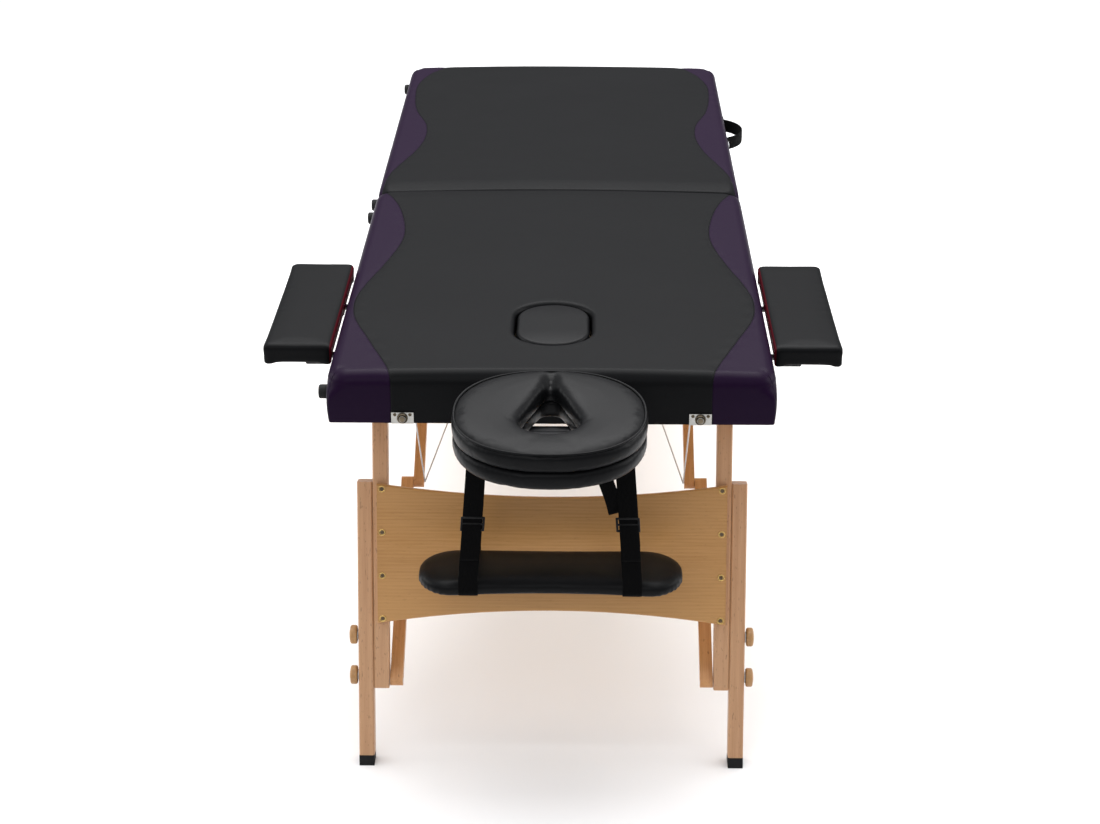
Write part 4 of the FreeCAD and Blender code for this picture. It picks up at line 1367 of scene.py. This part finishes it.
    def slider(self, soup: Soup, middle: Array, along: Array) -> None:
        """Three-bar slider: two side bars and three cross bars, each a round rod with eased ends.

        Args:
            soup: Where its grids go.
            middle: Its middle.
            along: Direction of the strap.
        """
        run = along / np.linalg.norm(along)
        across = facing(0, 1)
        half = self.strap_width / 2 + self.slider_bar
        for sign in (-1, 1):
            edge, reach = middle + across * sign * half, run * self.slider_reach
            soup.add(rod_grid(edge - reach, edge + reach, self.slider_bar))
        for share in (-1, 0, 1):
            spot = middle + run * share * self.cross_reach
            soup.add(rod_grid(spot - across * half, spot + across * half, self.cross_bar))

    def build(self) -> None:
        """Make the shelf and its straps."""
        self.build_pad()
        self.build_straps()


def rod_grid(start: Array, end: Array, radius: float) -> Array:
    """Rod between two points, its ends eased a little beyond them.

    Args:
        start: First end.
        end: Second end.
        radius: Rod radius.
    Returns: Grid of points.
    """
    length = float(np.linalg.norm(end - start))
    quarter = np.linspace(0, math.pi / 2, 5)
    cap = 0.4 * radius
    first = np.stack([radius - cap + cap * np.sin(quarter), -cap * np.cos(quarter)], 1)
    last = np.stack([radius - cap + cap * np.cos(quarter), length + cap * np.sin(quarter)], 1)
    profile = np.vstack([[0, -cap], first, last, [0, length + cap]])
    return lathe(profile, start, end - start, 20)


@dataclass
class Armrest:
    """Padded side rest on two dowels."""

    side: Side
    paint: Palette
    place_x: float = 0.3973
    place_y: float = -0.6075
    half_x: float = 0.0543
    half_y: float = 0.1970
    low: float = 0.626
    high: float = 0.658
    roll: float = 0.007
    droop: float = 0.005
    crown: float = 0.0015
    side_rows: tuple[tuple[float, float], ...] = ((0.0, 0.004), (0.05, 0.0016), (0.14, 0.0008), (0.3, 0.0014),
                                                  (0.5, 0.0012), (0.7, 0.0003))
    dowel_length: float = 0.05
    dowel_radius: float = 0.005
    dowel_gap: float = 0.110
    dowel_level: float = 0.608
    dowel_start: float = 0.323
    block_from: float = 0.354
    block_half: tuple[float, float] = (0.020, 0.012)
    block_low: float = 0.596

    def build(self) -> None:
        """Make the pad and what holds it."""
        self.build_pad()
        self.build_dowels()

    def build_pad(self) -> None:
        """Make the pad with rolled edges and tucked corners that hang a little lower."""
        outer = rounded_box(self.half_x, self.half_y, 0.007, 0.006, 10)
        reach = self.half_y - self.half_x
        core = np.stack([np.zeros(len(outer)), np.clip(outer[:, 1], -reach, reach)], 1)
        ray = core - outer
        ray = ray / np.linalg.norm(ray, axis=1)[:, None]
        gap = np.hypot(self.half_x - np.abs(outer[:, 0]), self.half_y - np.abs(outer[:, 1]))
        corner = bell(gap, 0.015)
        thick = self.high - self.low
        rows = [ring3(towards(outer, core, share), self.low + 0.001) for share in (1.0, 0.6, 0.3)]
        rows.append(ring3(outer + ray * 0.008, self.low + 0.0006 - self.droop * 0.5 * corner))
        for share, inset in self.side_rows:
            hang = self.droop * corner * (1 - share) ** 3
            rows.append(ring3(outer + ray * inset, self.low + share * thick - hang))
        rim = self.high - self.crown
        for angle in np.linspace(0.1, math.pi / 2, 8):
            inset = self.roll * (1 - math.cos(angle)) + 0.001 * corner
            rows.append(ring3(outer + ray * inset[:, None], rim - self.roll * (1 - math.sin(angle))))
        start = outer + ray * self.roll
        for share in np.linspace(0.0, 1, 12)[1:]:
            rows.append(ring3(towards(start, core, share), rim + self.crown * ease(share * 1.6)))
        shift = np.array([self.side.value * self.place_x, self.place_y, 0])
        name = f"{self.side.tag}_armrest"
        pad = dress(Soup().add(np.array(rows) + shift).build(f"{name}_pad"), self.paint.arm)
        puff(pad, voxel=0.0045, cap=0.0012)
        declare_pad(pad, name, name)

    def build_dowels(self) -> None:
        """Make both dowels, coloured black as painted shade of the gap under the pad, and the blocks that
        hold them.
        """
        name, out = f"{self.side.tag}_armrest", self.side.value
        dowels, blocks = Soup(), Soup()
        for sign in (-1, 1):
            y = self.place_y + sign * self.dowel_gap
            start = np.array([out * self.dowel_start, y, self.dowel_level])
            dowels.add(rod_grid(start, start + facing(0, out) * self.dowel_length, self.dowel_radius))
            self.block(blocks, np.array([out * (self.block_from + self.block_half[0]), y]))
        mount(blocks, f"{name}_blocks", self.paint.plastic, name, 0.6)
        # The dowels are black so that the gap between the armrest and the table reads dark: painted shade.
        mount(dowels, f"{name}_dowels", self.paint.bar, name)

    def block(self, soup: Soup, middle: Array) -> None:
        """Block under the pad that holds a dowel: a rectangle with eased edges, drawn up to the pad.

        Args:
            soup: Where its grid goes.
            middle: Its middle in plan.
        """
        half_x, half_y = self.block_half
        rows = []
        for inset, z in ((0.002, 0), (0.0006, 0.0006), (0.0, 0.002), (0.0, 0.032)):
            outer = rounded_box_counts(half_x - inset, half_y - inset, 0.002, 6, 4, 5)
            rows.append(ring3(outer + middle, self.block_low + z))
        spot = np.broadcast_to(middle, (len(outer), 2))
        ends = [ring3(spot, self.block_low), ring3(spot, self.block_low + z)]
        soup.add(np.array([ends[0], *rows, ends[1]]))


@dataclass
class CarryHandle:
    """Webbing handle screwed to the side of the foot half."""

    paint: Palette
    wall: float = 0.340
    place_y: float = 0.512
    level: float = 0.623
    half_length: float = 0.093
    tab: float = 0.026
    rise: float = 0.034
    width: float = 0.026
    thick: float = 0.003
    screw_inset: float = 0.012
    washer_thick: float = 0.0012

    def build(self) -> None:
        """Make the band: flat on the wall at both ends, arched between, with a screw in each end."""
        y = np.linspace(-self.half_length, self.half_length, 90)
        flat = self.half_length - self.tab
        arch = self.rise * np.clip(1 - (y / flat) ** 2, 0, 1) ** 0.75
        x = self.wall + self.thick / 2 + arch
        path = np.stack([x, y + self.place_y, np.full_like(y, self.level)], 1)
        path = even_path(path, 0.0025, False, 4)
        grid, uv = band(path, facing(2, 1), self.width, self.thick, False)
        soup = Soup().add(grid, False, True, uv)
        strap = mount(soup, "carry_handle_band", self.paint.webbing, "foot_half")
        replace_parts(strap, "carry_handle")
        screws, out = Soup(), facing(0, 1)
        for sign in (-1, 1):
            y = self.place_y + sign * (self.half_length - self.screw_inset)
            spot = np.array([self.wall + self.thick, y, self.level])
            washer = round_profile(0.008, -0.0005, self.washer_thick, 0.0005, 0.0001)
            screws.add(lathe(washer, spot, out))
            screws.add(screw_head(spot + out * self.washer_thick, out, 0.0042, 0.0018))
        mount(screws, "carry_handle_screws", self.paint.steel, "foot_half", 0.8)


@dataclass
class LegSet:
    """Legs of one half: wood finishes, turned knobs, crossboard screws in brass cups, and cables."""

    half: Half
    paint: Palette
    hinge_y: float = 0.800
    hinge_z: float = 0.600
    face: float = 0.024
    screw_x: float = 0.266
    screw_from: float = 0.170
    screw_to: float = 0.378
    screw_radius: float = 0.0030
    cup_radius: float = 0.0056
    cable_x: float = 0.2172
    cable_radius: float = 0.0012
    cable_end: float = 0.870
    cable_fold: float = 0.060
    deck_bottom: float = 0.6195
    elbow_y: float = 0.6077
    elbow_z: float = 0.3359

    def place(self, local: Array) -> Array:
        """From the standing leg's own frame to the table's.

        Args:
            local: (..., 3) points, Z up the leg.
        Returns: (..., 3) points.
        """
        x, y, z = np.moveaxis(np.asarray(local, float), -1, 0)
        c, s = math.cos(SPLAY), math.sin(SPLAY)
        sign = self.half.value
        return np.stack([sign * x, sign * (c * y - s * z + self.hinge_y), s * y + c * z + self.hinge_z], -1)

    def build_knobs(self) -> None:
        """Replace each knob by a turned one with a washer behind it."""
        for side in Side:
            for level in ("upper", "lower"):
                node = f"{self.half.tag}_{side.tag}_{level}_knob"
                low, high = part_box(node)
                out = facing(0, side.value)
                inner = low.x if side is Side.RIGHT else high.x
                spot = np.array([inner, (low.y + high.y) / 2, (low.z + high.z) / 2])
                thick = high.x - low.x
                radius = (high.z - low.z) / 2
                profile = round_profile(radius, 0.0, thick - 0.0008, 0.0032, 0.0016)
                turned = Soup().add(lathe(profile, spot, out, 56))
                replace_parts(mount(turned, f"{node}_turned", self.paint.knob, node), node)
                ring = round_profile(0.0085, -0.0022, -0.0002, 0.0006, 0.0)
                mount(Soup().add(lathe(ring, spot, out)), f"{node}_washer", self.paint.steel, node, 0.8)

    def build_cables(self) -> None:
        """Make the stay cables.

        Each is a thin round section carried in small steps from the elbow to its end under the deck.
        """
        sign, tag = self.half.value, self.half.tag
        for side in Side:
            elbow = np.array([side.value * self.cable_x, sign * self.elbow_y, self.elbow_z])
            ends = {
                "end": np.array([side.value * self.cable_x, sign * self.cable_end, self.deck_bottom]),
                "fold": np.array([side.value * self.cable_fold, sign * self.cable_fold, self.deck_bottom]),
            }
            for name, end in ends.items():
                length = float(np.linalg.norm(elbow - end))
                along = np.concatenate([[0], np.linspace(0, length, 40), [length]])
                radius = np.full(len(along), self.cable_radius)
                radius[[0, -1]] = 0
                grid = lathe(np.stack([radius, along], 1), end, elbow - end, 10)
                title = f"{tag}_{side.tag}_{name}_cable"
                cable = mount(Soup().add(grid), title, self.paint.steel, f"{tag}_half")
                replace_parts(cable, f"{tag}_cables")
                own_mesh(cable)

    def build_screws(self) -> None:
        """Put the screws in the crossboard's face, each sunk in a brass cup."""
        cups, heads = Soup(), Soup()
        out = self.place(facing(1, 1)) - self.place(np.zeros(3))
        cup = np.array([
            (0, -0.6), (1, -0.6), (1, 0.1), (0.93, 0.5), (0.82, 0.62), (0.7, 0.45), (0.56, -0.1), (0, -0.1),
        ])
        for x in (-self.screw_x, self.screw_x):
            for s in np.linspace(self.screw_from, self.screw_to, 4):
                spot = self.place(np.array([x, self.face, -s]))
                cups.add(lathe(cup * np.array([self.cup_radius, 0.0018]), spot, out, 36))
                heads.add(screw_head(spot - out * 0.0002, out, self.screw_radius, 0.0009))
        tag = self.half.tag
        mount(cups, f"{tag}_board_cups", self.paint.brass, f"{tag}_legs", 0.9)
        mount(heads, f"{tag}_board_screws", self.paint.dark, f"{tag}_legs", 0.9)

    def build(self) -> None:
        """Dress the kept wood and metal, and make the knobs, screws and cables."""
        tag = self.half.tag
        finishes = (
            (self.paint.beech[self.half], ("left_leg", "left_extension", "right_leg", "right_extension")),
            (self.paint.board, ("crossboard",)),
            (self.paint.brace[self.half], ("lower_braces", "upper_braces")),
            (self.paint.rail, ("leg_blocks", "brace_blocks")),
            (self.paint.rubber, ("feet",)),
            (self.paint.steel, ("leg_bolts", "pivot_pins")),
        )
        for material, names in finishes:
            for name in names:
                dress_node(f"{tag}_{name}", material)
        self.build_knobs()
        self.build_screws()
        self.build_cables()


@dataclass
class Trim:
    """Rails, deck, bumpers, catches and fold hinges of one half, and the head half's sockets."""

    half: Half
    paint: Palette
    wall: float = -0.3395
    level: float = 0.616
    bumper_radius: float = 0.011
    bumper_height: float = 0.016
    bumper_places: tuple[float, float] = (0.040, 0.890)
    catch_x: float = 0.225
    catch_face: float = 0.9315
    catch_screw: tuple[float, float] = (0.0115, 0.5955)
    leaf_x: float = 0.2
    leaf_screw: Triple = (0.02, 0.032, 0.578)
    peg_socket: Triple = (0.08, 0.9294, 0.600)
    arm_socket_x: float = 0.3399
    arm_socket_z: float = 0.608
    arm_sockets: tuple[float, float] = (-0.7175, -0.4975)

    def build_bumpers(self) -> None:
        """Replace the bumpers by moulded ones: a rounded button with a screw sunk in its face."""
        buttons, screws = Soup(), Soup()
        out = facing(0, -1)
        for y in self.bumper_places:
            spot = np.array([self.wall, self.half.value * y, self.level])
            profile = round_profile(self.bumper_radius, -0.002, self.bumper_height - 0.0005, 0.0035, 0.0)
            sunk = ease((0.0056 - profile[:, 0]) / 0.0012) * (profile[:, 1] > 0.005)
            profile[:, 1] -= 0.0045 * sunk
            buttons.add(lathe(profile, spot, out, 44))
            screws.add(screw_head(spot + out * 0.0108, out, 0.0036, 0.0014))
        tag = self.half.tag
        piece = mount(buttons, f"{tag}_bumper_buttons", self.paint.rubber, f"{tag}_half")
        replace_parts(piece, f"{tag}_bumpers")
        mount(screws, f"{tag}_bumper_screws", self.paint.steel, f"{tag}_half", 0.9)

    def build_screws(self) -> None:
        """Put collars and studs on the catch plates, and screws in them and in the hinge leaves."""
        soup, rings = Soup(), Soup()
        tag = self.half.tag
        low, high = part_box(f"{tag}_catch_plates")
        out = facing(1, self.half.value)
        face = self.half.value * self.catch_face
        level = (low.z + high.z) / 2
        aside, screw_level = self.catch_screw
        ring = np.array([
            (5.1, 0.5), (8.0, 0.5), (8.2, 2.2), (7.4, 3.6), (6.6, 4.0), (5.8, 3.4), (5.1, 2.4),
        ]) * MM
        stud = np.array([(0, 0.2), (5.05, 0.2), (5.05, 4.6), (4.6, 5.3), (3.4, 5.6), (0, 5.7)]) * MM
        for x in (-self.catch_x, self.catch_x):
            rings.add(lathe(ring, np.array([x, face, level]), out, 44), wrap_rows=True)
            rings.add(lathe(stud, np.array([x, face, level]), out, 30))
            for shift in (-aside, aside):
                soup.add(screw_head(np.array([x + shift, face, screw_level]), out, 0.0026, 0.0012))
        mount(rings, f"{tag}_catch_collars", self.paint.dark, f"{tag}_half", 0.9)
        step, from_fold, below = self.leaf_screw
        for x in (-self.leaf_x, self.leaf_x):
            for shift in (-step, 0, step):
                spot = np.array([x + shift, self.half.value * from_fold, below])
                soup.add(screw_head(spot, facing(2, -1), 0.0032, 0.0012))
        mount(soup, f"{tag}_plate_screws", self.paint.dark, f"{tag}_half", 0.9)

    def build(self) -> None:
        """Dress the kept nodes and make the bumpers, screws and sockets."""
        tag = self.half.tag
        dress_node(f"{tag}_frame", self.paint.rail)
        dress_node(f"{tag}_deck", self.paint.ply)
        dress_node(f"{tag}_catch_plates", self.paint.nickel)
        dress_node(f"{tag}_hinge_leaves", self.paint.steel)
        self.build_bumpers()
        self.build_screws()
        if self.half is Half.HEAD:
            self.build_sockets()

    def build_sockets(self) -> None:
        """Put a grommet round each socket of the headrest and the armrests, and a flat dark disc in its bore
        as painted shade of the hole.
        """
        rims, bore_shades = Soup(), Soup()
        rim = np.array([(6.3, -0.6), (9.5, -0.6), (9.5, 0.5), (8.6, 1.1), (7.2, 1.0), (6.3, 0.3)]) * MM
        bore = np.array([(0, -0.4), (6.6, -0.4), (6.6, 0.1), (0, 0.1)]) * MM
        x, y, z = self.peg_socket
        spots = [(np.array([sign * x, -y, z]), facing(1, -1)) for sign in (-1, 1)]
        for side in Side:
            x, z = side.value * self.arm_socket_x, self.arm_socket_z
            spots += [(np.array([x, y, z]), facing(0, side.value)) for y in self.arm_sockets]
        for spot, out in spots:
            rims.add(lathe(rim, spot, out, 36), wrap_rows=True)
            bore_shades.add(lathe(bore, spot, out, 36))
        mount(rims, "head_socket_grommets", self.paint.plastic, "head_half", 0.9)
        # Painted shade: a flat dark disc stands for the shadowed inside of each empty bore.
        mount(bore_shades, "head_socket_bores", self.paint.rubber, "head_half", 0.9)


# Seams of the top: distance from the fold, and half the width of the black middle there
HEAD_SEAM = ((0, 0.326), (0.08, 0.297), (0.17, 0.278), (0.27, 0.269), (0.43, 0.292), (0.52, 0.313),
             (0.60, 0.325), (0.66, 0.322), (0.79, 0.285), (0.90, 0.250), (0.93, 0.242))
FOOT_SEAM = ((0, 0.333), (0.095, 0.325), (0.175, 0.306), (0.25, 0.286), (0.355, 0.272), (0.44, 0.276),
             (0.55, 0.302), (0.665, 0.314), (0.785, 0.312), (0.87, 0.288), (0.94, 0.247))


@dataclass
class Studio:
    """Camera, pale floor and soft light."""

    camera_at: Triple = (0.045, -4.096, 1.937)
    pitch: float = math.radians(67.12)
    yaw: float = math.radians(0.85)
    lens: float = 74.58
    sky: tuple[tuple[float, float], ...] = ((0.0, 0.16), (0.24, 0.22), (0.42, 0.62), (0.6, 0.95), (1.0, 1.0))
    floor_half: float = 15

    def light(self, name: str, spot: Triple, aim: Triple, size: tuple[float, float], power: float) -> None:
        """Add a soft box.

        Args:
            name: Light name.
            spot: Its place.
            aim: Point it faces.
            size: Width and height.
            power: Watts.
        """
        data = bpy.data.lights.new(name, "AREA")
        data.shape = "RECTANGLE"
        data.size, data.size_y = size
        data.energy = power
        lamp = bpy.data.objects.new(name, data)
        lamp.location = spot
        direction = Vector(aim) - Vector(spot)
        lamp.rotation_euler = direction.to_track_quat("-Z", "Y").to_euler()
        bpy.context.scene.collection.objects.link(lamp)

    def surroundings(self) -> bpy.types.World:
        """Make a studio that is white to the camera and, in reflections, dim at eye level and bright above.

        Returns: The world.
        """
        world = bpy.data.worlds.new("studio")
        world.use_nodes = True
        tree = world.node_tree
        glow = tree.nodes["Background"]
        place = tree.nodes.new("ShaderNodeTexCoord")
        parts = tree.nodes.new("ShaderNodeSeparateXYZ")
        ramp = tree.nodes.new("ShaderNodeValToRGB")
        seen = tree.nodes.new("ShaderNodeLightPath")
        either = tree.nodes.new("ShaderNodeMix")
        either.data_type = "RGBA"
        for stop, (height, shade) in enumerate(self.sky):
            spot = ramp.color_ramp.elements[stop] if stop < 2 else ramp.color_ramp.elements.new(height)
            spot.position = height
            spot.color = (shade, shade, shade * 1.03, 1)
        either.inputs[7].default_value = (1, 1, 1, 1)
        tree.links.new(place.outputs["Generated"], parts.inputs[0])
        tree.links.new(parts.outputs[2], ramp.inputs[0])
        tree.links.new(seen.outputs["Is Camera Ray"], either.inputs[0])
        tree.links.new(ramp.outputs[0], either.inputs[6])
        tree.links.new(either.outputs[2], glow.inputs[0])
        return world

    def build(self) -> None:
        """Set up the camera, the floor and the lights."""
        scene = bpy.context.scene
        data = bpy.data.cameras.new("camera")
        data.sensor_fit = "HORIZONTAL"
        data.sensor_width = 36
        data.lens = self.lens
        camera = bpy.data.objects.new("camera", data)
        camera.location = self.camera_at
        camera.rotation_euler = (self.pitch, 0, self.yaw)
        scene.collection.objects.link(camera)
        scene.camera = camera
        scene.view_settings.view_transform = "Standard"
        scene.world = self.surroundings()
        reach = self.floor_half
        corners = [(-reach, -reach, 0), (reach, -reach, 0), (reach, reach, 0), (-reach, reach, 0)]
        mesh = bpy.data.meshes.new("floor")
        mesh.from_pydata(corners, [], [(0, 1, 2, 3)])
        floor = bpy.data.objects.new("floor", mesh)
        scene.collection.objects.link(floor)
        n = Nodes("floor_paper")
        tone = n.mix(n.noise(n.places(), 3, 3), (0.86, 0.86, 0.86), (0.88, 0.88, 0.88))
        dress(floor, n.finish(Base_Color=tone, Roughness=0.9, Specular_IOR_Level=0.1))
        floor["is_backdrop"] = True
        self.light("overhead", (0, 1.0, 3.4), (0, 1.0, 0.6), (3.2, 4.4), 190)
        self.light("front", (-1.2, -4.6, 3.2), (0, -0.4, 0.3), (2.4, 2.0), 30)
        for side in Side:
            self.light(side.tag, (side.value * 3.6, 0.2, 1.9), (0, 0, 0.4), (3.4, 1.8), 60)


def main() -> None:
    """Build everything in order."""
    logging.basicConfig(level=logging.INFO)
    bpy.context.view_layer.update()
    paint = make_palette()
    TopHalf(Half.HEAD, paint, HEAD_SEAM, fold_drop=0.0042).build()
    TopHalf(Half.FOOT, paint, FOOT_SEAM).build()
    FacePlug(paint).build()
    Headrest(paint).build()
    ArmShelf(paint).build()
    for side in Side:
        Armrest(side, paint).build()
    CarryHandle(paint).build()
    for half in Half:
        LegSet(half, paint).build()
        Trim(half, paint).build()
    dress_node("hinge_pins", paint.steel)
    dress_node("headrest_frame", paint.bar)
    dress_node("headrest_lugs", paint.plastic)
    dress_node("headrest_sockets", paint.rail)
    Studio().build()
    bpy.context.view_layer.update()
    for piece in sorted(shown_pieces(), key=lambda item: item.name):
        LOG.info("%s: %d faces", piece.name, len(piece.data.polygons))


if __name__ == "__main__":
    main()
